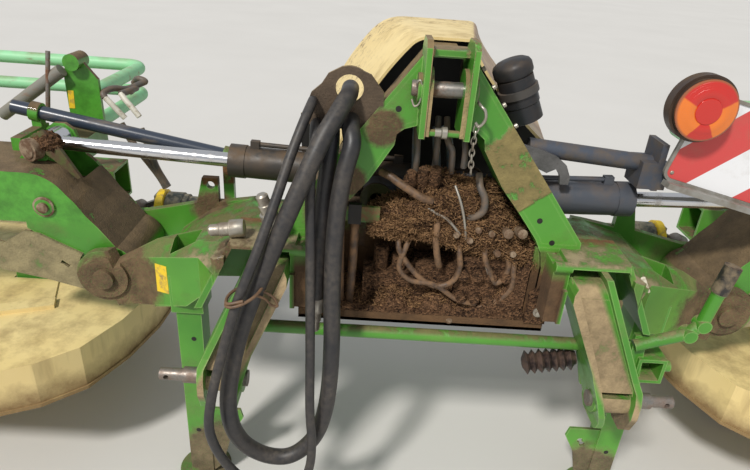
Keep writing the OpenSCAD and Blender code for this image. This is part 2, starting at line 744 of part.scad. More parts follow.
// Mower unit: carrier beam, cutter bar with its discs, hood, gearbox, guards
module carrier_side() {
    x0 = guard_x0 - 20;
    difference() {
        translate([x0, carrier_y, carrier_z]) cube([bar_x1 - x0, carrier_w, carrier_w]);
        translate([x0 - 1, carrier_y + 8, carrier_z + 8]) cube([bar_x1 - x0 + 2, carrier_w - 16, carrier_w - 16]);
    }
    translate([hanger_x - 60, carrier_y, carrier_z + carrier_w]) cube([120, carrier_w, 858 - carrier_z - carrier_w]);
    translate([bar_x1 - 14, disc_y - 60, bar_top]) cube([14, carrier_y - disc_y + 60 + carrier_w, 620 - bar_top]);
    for (x = [1500, 2700, 3900]) translate([x, carrier_y + 20, hood_top + seat]) cube([60, 50, carrier_z - hood_top - seat + 1]);
}
module carrier_left() {
    color(green) placed() side(-1) carrier_side();
}
module carrier_right() {
    color(green) placed() side(1) carrier_side();
}
module cutter_bar_side() {
    w = bar_w / 2;
    bar = [[disc_y - w, bar_z + 14], [disc_y - w + 26, bar_top], [disc_y + w - 16, bar_top], [disc_y + w, bar_top - 14],
        [disc_y + w - 10, bar_z], [disc_y - w + 20, bar_z]];
    shoe = [[disc_y - w - 12, bar_z + 20], [disc_y - w + 2, bar_z + 14], [disc_y - w + 22, bar_z + 0.5], [disc_y + w + 20, bar_z + 0.5],
        [disc_y + w + 30, 4], [disc_y + w + 24, 0], [disc_y - w + 60, 0], [disc_y - w - 6, bar_z - 6]];
    side_cut(bar_x0, bar_x1) polygon(bar);
    for (i = [0:disc_n - 1]) {
        x = disc_x0 + i * disc_pitch;
        side_cut(x - 130, x + 130) polygon(shoe);
        translate([x, disc_y, bar_top - 1]) cylinder(d = 70, h = 13, $fn = 48);
    }
}
module cutter_bar_left() {
    color(steel) placed() side(-1) cutter_bar_side();
}
module cutter_bar_right() {
    color(steel) placed() side(1) cutter_bar_side();
}
// plan of the hood, drawn t inside its outer face
function hood_plan(t) = [[hood_x1 - t, hood_y0 + t], [1010, hood_y0 + t], [920 + t / 2, 84 + t], [838 + t, 158 + t / 2],
    [782 + t, 286], [748 + t, 433], [740 + t, 555], [740 + t, hood_y1 - t], [hood_x1 - t, hood_y1 - t]];
module hood_side() {
    difference() {
        translate([0, 0, hood_z]) linear_extrude(hood_h) polygon(hood_plan(0));
        translate([0, 0, hood_z - 1]) linear_extrude(hood_h - hood_t + 1) polygon(hood_plan(hood_t));
        translate([bar_x0 + 3, disc_y - 96, hood_z]) cube([98, 242, hood_h + 1]);
        translate([bar_x1 - 16, disc_y - 62, hood_z - 1]) cube([30, 330, hood_h + 2]);
    }
    // beaded rim along the lower edge
    difference() {
        translate([0, 0, hood_z]) linear_extrude(10) polygon(hood_plan(-4));
        translate([0, 0, hood_z - 1]) linear_extrude(12) polygon(hood_plan(hood_t - 1));
        translate([bar_x1 - 16, disc_y - 62, hood_z - 1]) cube([40, 330, 20]);
    }
    // stiffening ribs, the metal flap and the rubber strip on the top
    for (y = [150, 260, 860, 930]) translate([1240, y, hood_top - 1]) cube([2900, 22, 9]);
    translate([1000, 360, hood_top - 1]) rotate([0, 0, -20]) cube([210, 100, 6]);
    translate([980, 318, hood_top - 1]) rotate([0, 0, -20]) cube([230, 40, 13]);
    // hinge of the side guard
    for (y = [96, 884]) translate([hood_x1 - 1, y, hood_top - 6]) cube([28, 20, 24]);
    rod_y(97, 903, 12, hood_x1 + 16, hood_top + 6, 32);
}
module hood_left() {
    color(cream) placed() side(-1) hood_side();
}
module hood_right() {
    color(cream) placed() side(1) hood_side();
}
module unit_gearbox_side() {
    translate([bar_x0 + 4, disc_y - 90, bar_top]) cube([92, 230, 430]);
    translate([bar_x0 + 20, disc_y + 100, bar_top + 400]) cube([60, 40, 20 + carrier_z - bar_top - 400]);
    rod_x(bar_x0 - 20, bar_x0 + 5, 120, shaft_y, shaft_z);
}
module unit_gearbox_left() {
    color(green) placed() side(-1) unit_gearbox_side();
}
module unit_gearbox_right() {
    color(green) placed() side(1) unit_gearbox_side();
}
module outer_shaft_side() {
    x1 = bar_x0 - 20;
    drop = atan2(fold_z - shaft_z, x1 - fold_x);
    run = sqrt(pow(fold_z - shaft_z, 2) + pow(x1 - fold_x, 2));
    translate([fold_x, 0, fold_z]) rotate([0, drop, 0]) {
        rod_x(80, run - 16, 60, shaft_y, 0);
        rod_x(56, 81, 90, shaft_y, 0);
        for (m = [-1, 1]) difference() {
            translate([-18, shaft_y + m * 36 - 9, -20]) cube([76, 18, 40]);
            rod_y(shaft_y - 60, shaft_y + 60, 20 + 2 * fit, 0, 0, 32);
        }
    }
    rod_x(x1 - 26, x1, 60, shaft_y, shaft_z);
}
module outer_shaft_left() {
    color(steel) placed() side(-1) outer_shaft_side();
}
module outer_shaft_right() {
    color(steel) placed() side(1) outer_shaft_side();
}
guard_turn = 60;
module guard_frame_side() {
    x0 = guard_x0;
    for (z = [guard_z, guard_z - 90]) {
        rod_x(x0 + guard_turn, hood_x1 - 40, guard_d, guard_y, z, 48);
        translate([x0 + guard_turn, guard_y - guard_turn, z]) rotate([0, 0, 90]) rotate_extrude(angle = 90, $fn = 96)
            translate([guard_turn, 0]) circle(d = guard_d, $fn = 48);
        rod_y(612 + seat, guard_y - guard_turn, guard_d, x0, z, 48);
        rod_y(carrier_y + carrier_w, guard_y, guard_d, hood_x1 - 60, z, 48);
        rod_y(carrier_y + carrier_w, guard_y, guard_d, hanger_x, z, 48);
    }
    for (x = [hanger_x, hood_x1 - 60]) translate([x - 20, carrier_y + carrier_w, carrier_z + 20]) cube([40, 20, guard_z - carrier_z - 10]);
    // strut from the pivot down to the boom, and the low tubes beside it
    translate([962, 582.7, 1031]) rotate([0, 36, 0]) translate([30, 0, 0]) rod_x(0, 230, 34, 0, 0);
}
module guard_frame_left() {
    color(pale) placed() side(-1) guard_frame_side();
}
module guard_frame_right() {
    color(pale) placed() side(1) guard_frame_side();
}
module curtain_side() {
    translate([bar_x0, hood_y1 - 4, 120]) cube([hood_x1 - bar_x0 - 20, 4, hood_z - seat - 120]);
}
module curtain_left() {
    color(dark) placed() side(-1) curtain_side();
}
module curtain_right() {
    color(dark) placed() side(1) curtain_side();
}
module outer_guard_side() {
    difference() {
        union() {
            translate([hood_x1 + 10, 120, 110]) cube([4, 760, hood_top - 110]);
            rod_y(120, 880, 24, hood_x1 + 16, hood_top + 6, 48);
        }
        rod_y(119, 881, 12.6, hood_x1 + 16, hood_top + 6, 48);
    }
}
module outer_guard_left() {
    color(cream) placed() side(-1) outer_guard_side();
}
module outer_guard_right() {
    color(cream) placed() side(1) outer_guard_side();
}
// one disc with its two knives, number i of its row; every second disc stands a quarter turn on
module disc_side(i) {
    x = disc_x0 + (i - 1) * disc_pitch;
    z = bar_top + 12 + seat;
    translate([x, disc_y, z]) rotate([0, 0, 90 * (i % 2)]) {
        intersection() {
            cylinder(d = 320, h = 14, $fn = 64);
            translate([-160, -115, 0]) cube([320, 230, 14]);
        }
        translate([0, 0, 14]) cylinder(d1 = 190, d2 = 90, h = 30, $fn = 64);
        for (m = [0, 180]) rotate([0, 0, m]) translate([140, -22, 0]) cube([knife_r - 140, 44, 4]);
    }
}

// a hose swept as one closed tube along its route, its section turned to follow the route
function tangent(p, i) = unit(p[min(i + 1, len(p) - 1)] - p[max(i - 1, 0)]);
function across(a, t) = unit(a - (a * t) * t);
// one vector square to the hose at each point, carried along the route without a twist
function carried(p) = [for (i = 0, a = across([1, 0, 0], tangent(p, 0)); i < len(p);
    i = i + 1, a = i < len(p) ? across(a, tangent(p, i)) : a) a];
function ring(p, i, a, r, n) = let (b = cross(tangent(p, i), a))
    [for (k = [0:n - 1]) p[i] + r * (cos(360 * k / n) * a + sin(360 * k / n) * b)];
module hose(p, d, n = 8) {
    m = len(p);
    across_at = carried(p);
    pts = [for (i = [0:m - 1], q = ring(p, i, across_at[i], d / 2, n)) q];
    walls = [for (i = [0:m - 2], k = [0:n - 1], h = [0, 1]) let (a = i * n + k, b = i * n + (k + 1) % n)
        h == 0 ? [a + n, b + n, b] : [a + n, b, a]];
    ends = [[for (k = [0:n - 1]) k], [for (k = [n - 1:-1:0]) (m - 1) * n + k]];
    polyhedron(points = pts, faces = concat(walls, ends));
}
hose_face = 140;
thick_route = [[-190, 190, 1106], [-190, 162, 1106], [-191, 128, 1106], [-198, 98, 1098], [-212, 70, 1076], [-231, 45, 1045],
    [-251, 24, 1000], [-278, 4, 935], [-306, -14, 865], [-335, -26, 790], [-363, -38, 715], [-386, -52, 640], [-400, -72, 567],
    [-406, -86, 495], [-400, -86, 430], [-382, -74, 372], [-352, -62, 332], [-318, -54, 312], [-284, -50, 312], [-252, -44, 332],
    [-224, -38, 372], [-207, -30, 430], [-199, -22, 510], [-198, -10, 610], [-202, 6, 710], [-203, 22, 810], [-199, 38, 900],
    [-190, 52, 970], [-178, 68, 1022], [-182, 90, 1046], [-184, 112, 1052], [-184, hose_face - seat, 1052]];
second_route = [[-222, hose_face - seat, 1052], [-222, 112, 1052], [-220, 90, 1018], [-226, 74, 950], [-234, 58, 860],
    [-237, 38, 780], [-238, 20, 700]];
thin_route = [[-262, hose_face - seat, 1088], [-262, 110, 1088], [-274, 72, 1058], [-294, 35, 1000], [-318, -4, 920],
    [-348, -42, 830], [-382, -72, 735], [-410, -98, 630], [-430, -128, 530], [-434, -134, 455], [-414, -122, 368],
    [-374, -108, 292], [-330, -98, 248], [-290, -92, 238], [-254, -86, 262], [-234, -80, 310], [-230, -74, 380], [-237, -62, 470],
    [-241, -38, 600], [-246, -8, 720], [-250, 15, 840], [-254, 35, 940], [-252, 70, 1008], [-254, 108, 1044],
    [-254, hose_face - seat, 1044]];
module hose_loop_thick() {
    color("black") placed() hose(thick_route, 36);
}
module hose_loop_second() {
    color("black") placed() hose(second_route, 34);
}
module hose_loop_thin() {
    color("black") placed() hose(thin_route, 20);
}

tower();
beam_left();
beam_right();
top_link_pin();
hitch_bracket_left();
hitch_bracket_right();
lower_pin_left();
lower_pin_right();
gearbox();
valve_block();
centre_hood();
canister();
marker_board();
lamp();
inner_shafts();
stand_left();
stand_right();
boom_left();
boom_right();
carrier_left();
carrier_right();
cutter_bar_left();
cutter_bar_right();
hood_left();
hood_right();
unit_gearbox_left();
unit_gearbox_right();
outer_shaft_left();
outer_shaft_right();
guard_frame_left();
guard_frame_right();
curtain_left();
curtain_right();
outer_guard_left();
outer_guard_right();
barrel_left();
barrel_right();
rod_left();
rod_right();
hose_loop_thick();
hose_loop_second();
hose_loop_thin();
sleeve_left();
for (s = [0, 1], i = [1:disc_n]) {
    color(steel) placed() side(s == 0 ? -1 : 1) disc_side(i);
}
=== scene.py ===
import math

import bpy
import numpy as np
from mathutils import Matrix


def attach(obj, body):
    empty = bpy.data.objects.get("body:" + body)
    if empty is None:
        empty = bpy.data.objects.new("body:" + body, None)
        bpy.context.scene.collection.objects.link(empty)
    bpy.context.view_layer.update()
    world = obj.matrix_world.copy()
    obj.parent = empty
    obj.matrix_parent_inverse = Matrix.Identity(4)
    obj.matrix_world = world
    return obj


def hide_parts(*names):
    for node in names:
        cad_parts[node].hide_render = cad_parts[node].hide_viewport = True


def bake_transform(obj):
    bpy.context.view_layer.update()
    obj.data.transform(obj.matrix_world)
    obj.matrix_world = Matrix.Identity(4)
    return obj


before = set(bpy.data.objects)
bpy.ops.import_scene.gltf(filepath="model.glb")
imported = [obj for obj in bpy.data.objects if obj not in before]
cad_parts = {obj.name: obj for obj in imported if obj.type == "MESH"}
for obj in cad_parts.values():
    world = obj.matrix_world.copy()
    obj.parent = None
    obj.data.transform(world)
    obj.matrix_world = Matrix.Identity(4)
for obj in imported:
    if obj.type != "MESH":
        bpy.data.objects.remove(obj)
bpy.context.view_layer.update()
scene = bpy.context.scene

# Camera: a little above the hitch, looking down at the tower, rolled by a few degrees.
# It is the photograph's view, worked out from the pins, the legs and the beams.
CAMERA_AT = (-0.146, -1.5605, 1.381)
CAMERA_YAW = math.radians(-1.33)
CAMERA_DOWN = math.radians(26.63)
CAMERA_ROLL = math.radians(4.17)
ahead = np.array((-math.sin(CAMERA_YAW) * math.cos(CAMERA_DOWN),
                  math.cos(CAMERA_YAW) * math.cos(CAMERA_DOWN), -math.sin(CAMERA_DOWN)))
level = np.array((math.cos(CAMERA_YAW), math.sin(CAMERA_YAW), 0.0))
upright = np.cross(level, ahead)
right = math.cos(CAMERA_ROLL) * level + math.sin(CAMERA_ROLL) * upright
up = math.cos(CAMERA_ROLL) * upright - math.sin(CAMERA_ROLL) * level
camera = bpy.data.objects.new("camera", bpy.data.cameras.new("camera"))
camera.data.sensor_width = 36
camera.data.sensor_fit = "HORIZONTAL"
camera.data.lens = 28.13
camera.matrix_world = Matrix([(*row, at) for row, at in zip(np.stack((right, up, -ahead), 1), CAMERA_AT)]
                             + [(0, 0, 0, 1)])
scene.collection.objects.link(camera)
scene.camera = camera
scene.view_settings.view_transform = "Standard"


# Tractor hoses: three black hydraulic hoses that hang from the ring plate beside the left leg. Two are
# U-shaped loops that come back to the plate, one ends in a coupler; all are dusty rubber.
# The shader and mesh helpers that every later section shares stand here too.
Y_MID = 0.5355


def rgb(red, green, blue, share=1.0):
    """Display values 0 to 255 turned into a shader's linear values, at a share of their brightness."""
    c = np.array((red, green, blue)) / 255
    return (*share * np.where(c <= 0.04045, c / 12.92, ((c + 0.055) / 1.055) ** 2.4), 1.0)


def place(points):
    """Millimetres in the source's drawing frame turned into metres in the shared frame."""
    return np.array(points, float) / 1000 - (0, Y_MID, 0)


def smooth_path(points, per_span=6):
    """Catmull-Rom: through every point, each span a cubic set by its two ends and their neighbours."""
    p = np.vstack((2 * points[0] - points[1], points, 2 * points[-1] - points[-2]))
    t = np.linspace(0, 1, per_span, endpoint=False)[None, :, None]
    a, b, c, d = (p[i:len(p) - 3 + i, None, :] for i in range(4))
    cubic = 0.5 * (2 * b + (c - a) * t + (2 * a - 5 * b + 4 * c - d) * t ** 2 + (3 * b - a - 3 * c + d) * t ** 3)
    return np.vstack((cubic.reshape(-1, 3), points[-1:]))


class Shader:
    """A node tree with short ways to add a node, give it its values and wire it up."""

    def __init__(self, name):
        self.material = bpy.data.materials.new(name)
        self.material.use_nodes = True
        self.tree = self.material.node_tree
        self.place = self.add("ShaderNodeTexCoord").outputs["Object"]
        at = self.add("ShaderNodeSeparateXYZ", in0=self.place).outputs
        self.x, self.y, self.z = at[0], self.sum("ADD", at[1], Y_MID), at[2]

    def add(self, kind, settings=None, **inputs):
        """A node of that kind; inputs are named by socket, spaces written as _, in{n} by number."""
        node = self.tree.nodes.new(kind)
        for key, value in (settings or {}).items():
            setattr(node, key, value)
        for key, value in inputs.items():
            socket = node.inputs[int(key[2:])] if key.startswith("in") else node.inputs[key.replace("_", " ")]
            self.give(socket, value)
        return node

    def give(self, socket, value):
        """A value is set on the socket, an output is linked to it."""
        if isinstance(value, bpy.types.NodeSocket):
            self.tree.links.new(value, socket)
        else:
            socket.default_value = value

    def sum(self, operation, *values, clamp=False):
        """One step of arithmetic on up to three numbers."""
        named = {f"in{i}": value for i, value in enumerate(values)}
        return self.add("ShaderNodeMath", {"operation": operation, "use_clamp": clamp}, **named).outputs[0]

    def noise(self, scale, detail=4.0, rough=0.6, stretch=None):
        """Fractal noise from 0 to 1 over the piece, scale in cycles per metre, stretched by axis."""
        at = self.add("ShaderNodeMapping", Vector=self.place, Scale=stretch).outputs[0] if stretch else self.place
        return self.add("ShaderNodeTexNoise", Vector=at, Scale=scale, Detail=detail, Roughness=rough).outputs[0]

    def ramp(self, value, low, high, at_low=0.0, at_high=1.0):
        """A straight climb from at_low to at_high as the value goes from low to high."""
        names = {"From_Min": low, "From_Max": high, "To_Min": at_low, "To_Max": at_high}
        return self.add("ShaderNodeMapRange", Value=value, **names).outputs[0]

    def mix(self, factor, first, second):
        """Colour: first where the factor is 0, second where it is 1; a tuple is what rgb takes."""
        first, second = (rgb(*c) if isinstance(c, tuple) else c for c in (first, second))
        return self.add("ShaderNodeMix", {"data_type": "RGBA"}, in0=factor, in6=first, in7=second).outputs[2]

    def facing(self, axis, low, high):
        """0 where the normal's part along that axis (0 to 2) is low, 1 where it is high."""
        normal = self.add("ShaderNodeNewGeometry").outputs["Normal"]
        return self.ramp(self.add("ShaderNodeSeparateXYZ", in0=normal).outputs[axis], low, high)

    def upward(self, low=0.3, high=0.85):
        """1 on faces that look up, 0 on walls and undersides."""
        return self.facing(2, low, high)

    def within(self, value, low, high, soft=0.004):
        """1 while the value is from low to high, with soft edges."""
        return self.both(self.ramp(value, low - soft, low + soft), self.ramp(value, high + soft, high - soft))

    def both(self, first, *others):
        """Masks multiplied together: 1 only where all are 1."""
        for other in others:
            first = self.sum("MULTIPLY", first, other)
        return first

    def blot(self, centre, radius, wobble):
        """1 within a rough-edged ball round the centre, fading to 0 at its radius."""
        node = self.add("ShaderNodeVectorMath", {"operation": "DISTANCE"}, in0=self.place, in1=centre)
        reach = self.sum("MULTIPLY_ADD", wobble, 1.1 * radius, node.outputs["Value"])
        return self.ramp(reach, 1.3 * radius, 0.9 * radius)

    def finish(self, colour, rough, relief=None, strength=0.0, depth=0.0, **surface):
        """Wires up the surface, with relief of that depth in metres at full strength; gives the material."""
        surface.update(Base_Color=colour, Roughness=rough)
        if relief:
            surface["Normal"] = self.add("ShaderNodeBump", Height=relief, Strength=strength,
                                         Distance=depth).outputs[0]
        for name, value in surface.items():
            self.give(self.tree.nodes["Principled BSDF"].inputs[name.replace("_", " ")], value)
        return self.material


def filmed(name, base, film, share=1.0, grain=(40, 5, 0.65), span=(0.38, 0.58), rough=(0.4, 0.9),
           relief=(260, 4), strength=0.5, depth=0.0008, metal=0.0):
    """One colour under an uneven film of another: noise of that grain climbs over the span, times the share.
    Roughness and Metallic are one value, or go from the first to the second where the film lies."""
    s = Shader(name)
    cover = s.both(s.ramp(s.noise(*grain), *span), share)
    rough, metal = (s.ramp(cover, 0, 1, *ends) if isinstance(ends, tuple) else ends for ends in (rough, metal))
    return s.finish(s.mix(cover, base, film), rough, s.noise(*relief), strength, depth, Metallic=metal)


def hose_rubber():
    """Black rubber with a grey-brown film of dust that is thicker on top, worn off in fine specks."""
    s = Shader("hose_rubber")
    fine = s.noise(90, 4)
    dust = s.both(s.ramp(s.noise(7, 5), 0.35, 0.75), s.sum("MULTIPLY_ADD", s.upward(-0.6, 0.9), 0.45, 0.3),
                  s.ramp(fine, 0.25, 0.65))
    return s.finish(s.mix(dust, (38, 38, 41), (112, 102, 90)), s.ramp(dust, 0, 1, 0.42, 0.85), fine, 0.5, 0.0006)


HOSE_RUBBER = hose_rubber()


def new_piece(name, points, faces, material, body, smooth=False):
    """A mesh with its material in a slot; without a body it stays unattached."""
    mesh = bpy.data.meshes.new(name)
    mesh.from_pydata(points, [], faces)
    mesh.materials.append(material)
    if smooth:
        mesh.shade_smooth()
        mesh.set_sharp_from_angle(angle=math.radians(38))
    piece = bpy.data.objects.new(name, mesh)
    scene.collection.objects.link(piece)
    if body:
        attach(piece, body)
    return piece


def hose(name, route, diameter, replaced):
    """A cord through the route's points: a round section carried along it; its length is summed."""
    path = smooth_path(place(route))
    piece = skin(name, tube(path, diameter / 2, 24), HOSE_RUBBER)
    length = float(np.linalg.norm(np.diff(path, axis=0), axis=1).sum())
    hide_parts(replaced)


THICK_ROUTE = (
    (-190, 190, 1106), (-190, 162, 1106), (-191, 128, 1106), (-198, 98, 1098), (-212, 70, 1076),
    (-231, 45, 1045), (-251, 24, 1000), (-278, 4, 935), (-306, -14, 865), (-335, -26, 790),
    (-363, -38, 715), (-386, -52, 640), (-400, -72, 567), (-406, -86, 495), (-400, -86, 430),
    (-382, -74, 372), (-352, -62, 332), (-318, -54, 312), (-284, -50, 312), (-252, -44, 332),
    (-224, -38, 372), (-207, -30, 430), (-199, -22, 510), (-198, -10, 610), (-202, 6, 710),
    (-203, 22, 810), (-199, 38, 900), (-190, 52, 970), (-178, 68, 1022), (-182, 90, 1046),
    (-184, 112, 1052), (-184, 139.7, 1052))
SECOND_ROUTE = (
    (-222, 139.7, 1052), (-222, 112, 1052), (-220, 90, 1018), (-226, 74, 950), (-234, 58, 860),
    (-237, 38, 780), (-238, 20, 700))
THIN_ROUTE = (
    (-262, 139.7, 1088), (-262, 110, 1088), (-274, 72, 1058), (-294, 35, 1000), (-318, -4, 920),
    (-348, -42, 830), (-382, -72, 735), (-410, -98, 630), (-430, -128, 530), (-434, -134, 455),
    (-414, -122, 368), (-374, -108, 292), (-330, -98, 248), (-290, -92, 238), (-254, -86, 262),
    (-234, -80, 310), (-230, -74, 380), (-237, -62, 470), (-241, -38, 600), (-246, -8, 720),
    (-250, 15, 840), (-254, 35, 940), (-252, 70, 1008), (-254, 108, 1044), (-254, 139.7, 1044))


def skin(name, shells, material, body="headstock", flat=False):
    """A closed mesh from grids of points shaped (shells, rings, points of a ring, 3).
    Each ring joins up round itself and to the next ring; the first and last ring close on their middle."""
    shells = np.asarray(shells, float)
    if shells.ndim == 3:
        shells = shells[None]
    count, rings, sides, _ = shells.shape
    ends = shells[:, (0, -1)].mean(2)
    points = np.concatenate((shells.reshape(count, -1, 3), ends), 1)
    ring, side = np.meshgrid(np.arange(rings - 1), np.arange(sides), indexing="ij")
    here, beside = ring * sides + side, ring * sides + (side + 1) % sides
    quads = np.stack((here, beside, beside + sides, here + sides), -1).reshape(-1, 4)
    k = np.arange(sides)
    last = (rings - 1) * sides
    first_fan = np.stack((np.full(sides, rings * sides), (k + 1) % sides, k), -1)
    last_fan = np.stack((np.full(sides, rings * sides + 1), last + k, last + (k + 1) % sides), -1)
    fans = np.vstack((first_fan, last_fan))
    a, b, c = (points[0][np.vstack((quads[:, :3], quads[:, (0, 2, 3)], fans))[:, i]] for i in range(3))
    if np.einsum("ij,ij->", a - points[0].mean(0), np.cross(b - points[0].mean(0), c - points[0].mean(0))) < 0:
        quads, fans = quads[:, ::-1], fans[:, ::-1]
    step = (np.arange(count) * (rings * sides + 2))[:, None, None]
    faces = (quads + step).reshape(-1, 4).tolist() + (fans + step).reshape(-1, 3).tolist()
    return new_piece(name, points.reshape(-1, 3), faces, material, body, not flat)


def square_to(axis):
    """Two unit vectors square to each axis and to each other."""
    axis = np.asarray(axis, float)
    axis = axis / np.linalg.norm(axis, axis=-1, keepdims=True)
    helper = np.where(np.abs(axis[..., 2:]) < 0.9, (0.0, 0, 1), (1.0, 0, 0))
    first = np.cross(axis, helper)
    first /= np.linalg.norm(first, axis=-1, keepdims=True)
    return axis, first, np.cross(axis, first)


def turned(profile, at, axis, sides=32):
    """A turned part: each (radius, height) of the profile, in millimetres, goes once round the axis
    through each place."""
    profile = np.array(profile, float) / 1000
    at = np.atleast_2d(np.asarray(at, float))
    axis, first, second = square_to(np.broadcast_to(np.asarray(axis, float), at.shape))
    angle = np.linspace(0, 2 * np.pi, sides, endpoint=False)
    across = np.cos(angle)[:, None] * first[:, None] + np.sin(angle)[:, None] * second[:, None]
    return (at[:, None, None] + profile[None, :, 1, None, None] * axis[:, None, None]
            + profile[None, :, 0, None, None] * across[:, None])


def tube(path, radius, sides=14):
    """A round section carried along the path; its sides turn with the path and never twist."""
    path = np.asarray(path, float)
    along = np.gradient(path, axis=0)
    along /= np.linalg.norm(along, axis=1, keepdims=True)
    across = [square_to(along[0])[1]]
    for way in along[1:]:
        side = across[-1] - way * (across[-1] @ way)
        across.append(side / np.linalg.norm(side))
    across = np.array(across)
    other = np.cross(along, across)
    angle = np.linspace(0, 2 * np.pi, sides, endpoint=False)
    radius = np.broadcast_to(radius, len(path))[:, None, None]
    return path[:, None] + radius * (np.cos(angle)[:, None] * across[:, None] + np.sin(angle)[:, None] * other[:, None])


BRIGHT_STEEL = filmed("bright_steel", (178, 172, 160), (92, 72, 52), 0.75, (28, 5), (0.42, 0.66), (0.34, 0.8),
                      (260, 3), 0.3, 0.0004, (0.85, 0.1))
COUPLER = ((17.5, 0), (19, 4), (19, 30), (14.5, 32), (14.5, 50), (12.5, 52), (12.5, 70), (9, 74))
coupler = skin("hose_coupler", turned(COUPLER, place(SECOND_ROUTE[-1]), (-0.01, -0.22, -0.97)), BRIGHT_STEEL)
hose("hose_thick", THICK_ROUTE, 0.036, "hose_loop_thick")
hose("hose_second", SECOND_ROUTE, 0.034, "hose_loop_second")
hose("hose_thin", THIN_ROUTE, 0.020, "hose_loop_thin")


# Floor and light: a plain pale floor, a soft key over the photographer's left shoulder, as in the
# photograph, and a pale world that fills the shadows.
def pale_floor():
    """Warm light grey without a pattern, a little uneven."""
    s = Shader("pale_floor")
    return s.finish(s.mix(s.noise(0.7, 3), (196, 194, 190), (208, 206, 202)), 0.9)


FLOOR_HALF = 60
floor_mesh = bpy.data.meshes.new("floor")
floor_mesh.from_pydata([(x * FLOOR_HALF, y * FLOOR_HALF, -0.0005) for x, y in ((-1, -1), (1, -1), (1, 1), (-1, 1))],
                       [], [(0, 1, 2, 3)])
floor_mesh.materials.append(pale_floor())
floor = bpy.data.objects.new("floor", floor_mesh)
scene.collection.objects.link(floor)

world = bpy.data.worlds.new("sky")
world.use_nodes = True
world.node_tree.nodes["Background"].inputs["Color"].default_value = (0.93, 0.96, 1.0, 1)
world.node_tree.nodes["Background"].inputs["Strength"].default_value = 0.55
scene.world = world
key = bpy.data.objects.new("key", bpy.data.lights.new("key", "SUN"))
key.data.energy = 3.0
key.data.color = (1.0, 0.97, 0.92)
key.data.angle = math.radians(7)
key.rotation_euler = (math.radians(36), math.radians(-26), 0)
scene.collection.objects.link(key)


# Painted steel: bright green gloss paint with brown dust and dry grass on every upward face.
# Every green part has the same paint, and its own places where dirt has caked.
def green_paint(name, caked=(), settled=0.8, film=0.5, dust=(122, 98, 70), layers=None):
    """Green gloss, paler at the sheet edges, with dust that settles from above and cakes in blots.
    Each layer is a mask, its colour and how matt it is, laid over the ones before it."""
    s = Shader(name)
    wide, mid, fine = s.noise(2.6, 4), s.noise(19, 6, 0.68), s.noise(210, 3)
    paint = s.mix(s.ramp(wide, 0.35, 0.65), (64, 128, 40), (86, 152, 50))
    rounded = s.add("ShaderNodeBevel", {"samples": 4}, Radius=0.004)
    flat = s.add("ShaderNodeNewGeometry").outputs["Normal"]
    turn = s.add("ShaderNodeVectorMath", {"operation": "DOT_PRODUCT"}, in0=rounded.outputs[0], in1=flat)
    edge = s.ramp(turn.outputs["Value"], 0.995, 0.93)
    paint = s.mix(s.both(edge, 0.55), paint, (160, 192, 118))
    dirt = s.sum("MAXIMUM", s.both(s.upward(), s.ramp(mid, 0.34, 0.52), settled),
                 s.both(s.ramp(s.noise(5.5, 6, 0.7), 0.5, 0.72), film))
    for centre, radius in caked:
        dirt = s.sum("MAXIMUM", dirt, s.blot(place(centre).tolist(), radius, s.sum("SUBTRACT", mid, 0.5)))
    dirt = s.sum("MULTIPLY", dirt, s.ramp(fine, 0.22, 0.5, 0.72, 1), clamp=True)
    earth = s.mix(s.ramp(mid, 0.38, 0.68), (*dust, 0.45), dust)
    colour = s.mix(dirt, paint, earth)
    for mask, tone, matt in layers(s, mid) if layers else ():
        colour = s.mix(mask, colour, s.mix(s.ramp(mid, 0.36, 0.64), (*tone, 0.55), tone))
        dirt = s.sum("MULTIPLY_ADD", mask, s.sum("SUBTRACT", matt, dirt), dirt)
    relief = s.both(s.sum("MULTIPLY_ADD", mid, 0.7, fine), dirt)
    return s.finish(colour, s.ramp(dirt, 0, 1, 0.33, 0.95), relief, 0.9, 0.0025, Coat_Weight=0.12)


def assign(material, *nodes):
    """A carried-over CAD node shows this material."""
    for node in nodes:
        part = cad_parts[node]
        for slot in part.material_slots:
            slot.material = material


def beam_layers(s, mid):
    """Pale dust on the ledge in front of the legs, and rusty brown mud near the legs' feet."""
    ledge = s.both(s.facing(2, 0.5, 0.8), s.ramp(s.y, 0.13, 0.1), s.ramp(mid, 0.42, 0.55))
    mud = s.both(s.within(s.z, 0.77, 0.83), s.ramp(s.y, 0.12, 0.15), s.ramp(mid, 0.36, 0.46))
    jamb = s.both(s.ramp(s.sum("ABSOLUTE", s.x), 0.292, 0.284), s.ramp(s.z, 0.80, 0.76), s.ramp(mid, 0.26, 0.34))
    return (mud, (118, 84, 50), 1), (ledge, (150, 136, 104), 1), (jamb, (104, 78, 52), 1)


def bracket_layers(s, mid):
    """Dusty beige over the web between the two plates, whose edges stay green."""
    side = s.sum("ABSOLUTE", s.x)
    lean = s.sum("MULTIPLY_ADD", s.z, 0.5, side)
    web = s.both(s.facing(1, -0.3, -0.6), s.within(lean, 0.655, 0.735, 0.006), s.within(s.z, 0.46, 0.785, 0.01))
    cheek = s.both(s.facing(0, 0.4, 0.7), s.ramp(s.x, 0, 0.01), s.ramp(lean, 0.70, 0.69), s.ramp(mid, 0.34, 0.44))
    return (cheek, (96, 82, 62), 1), (s.both(web, s.ramp(mid, 0.3, 0.4, 0.6, 1)), (172, 150, 114), 1)


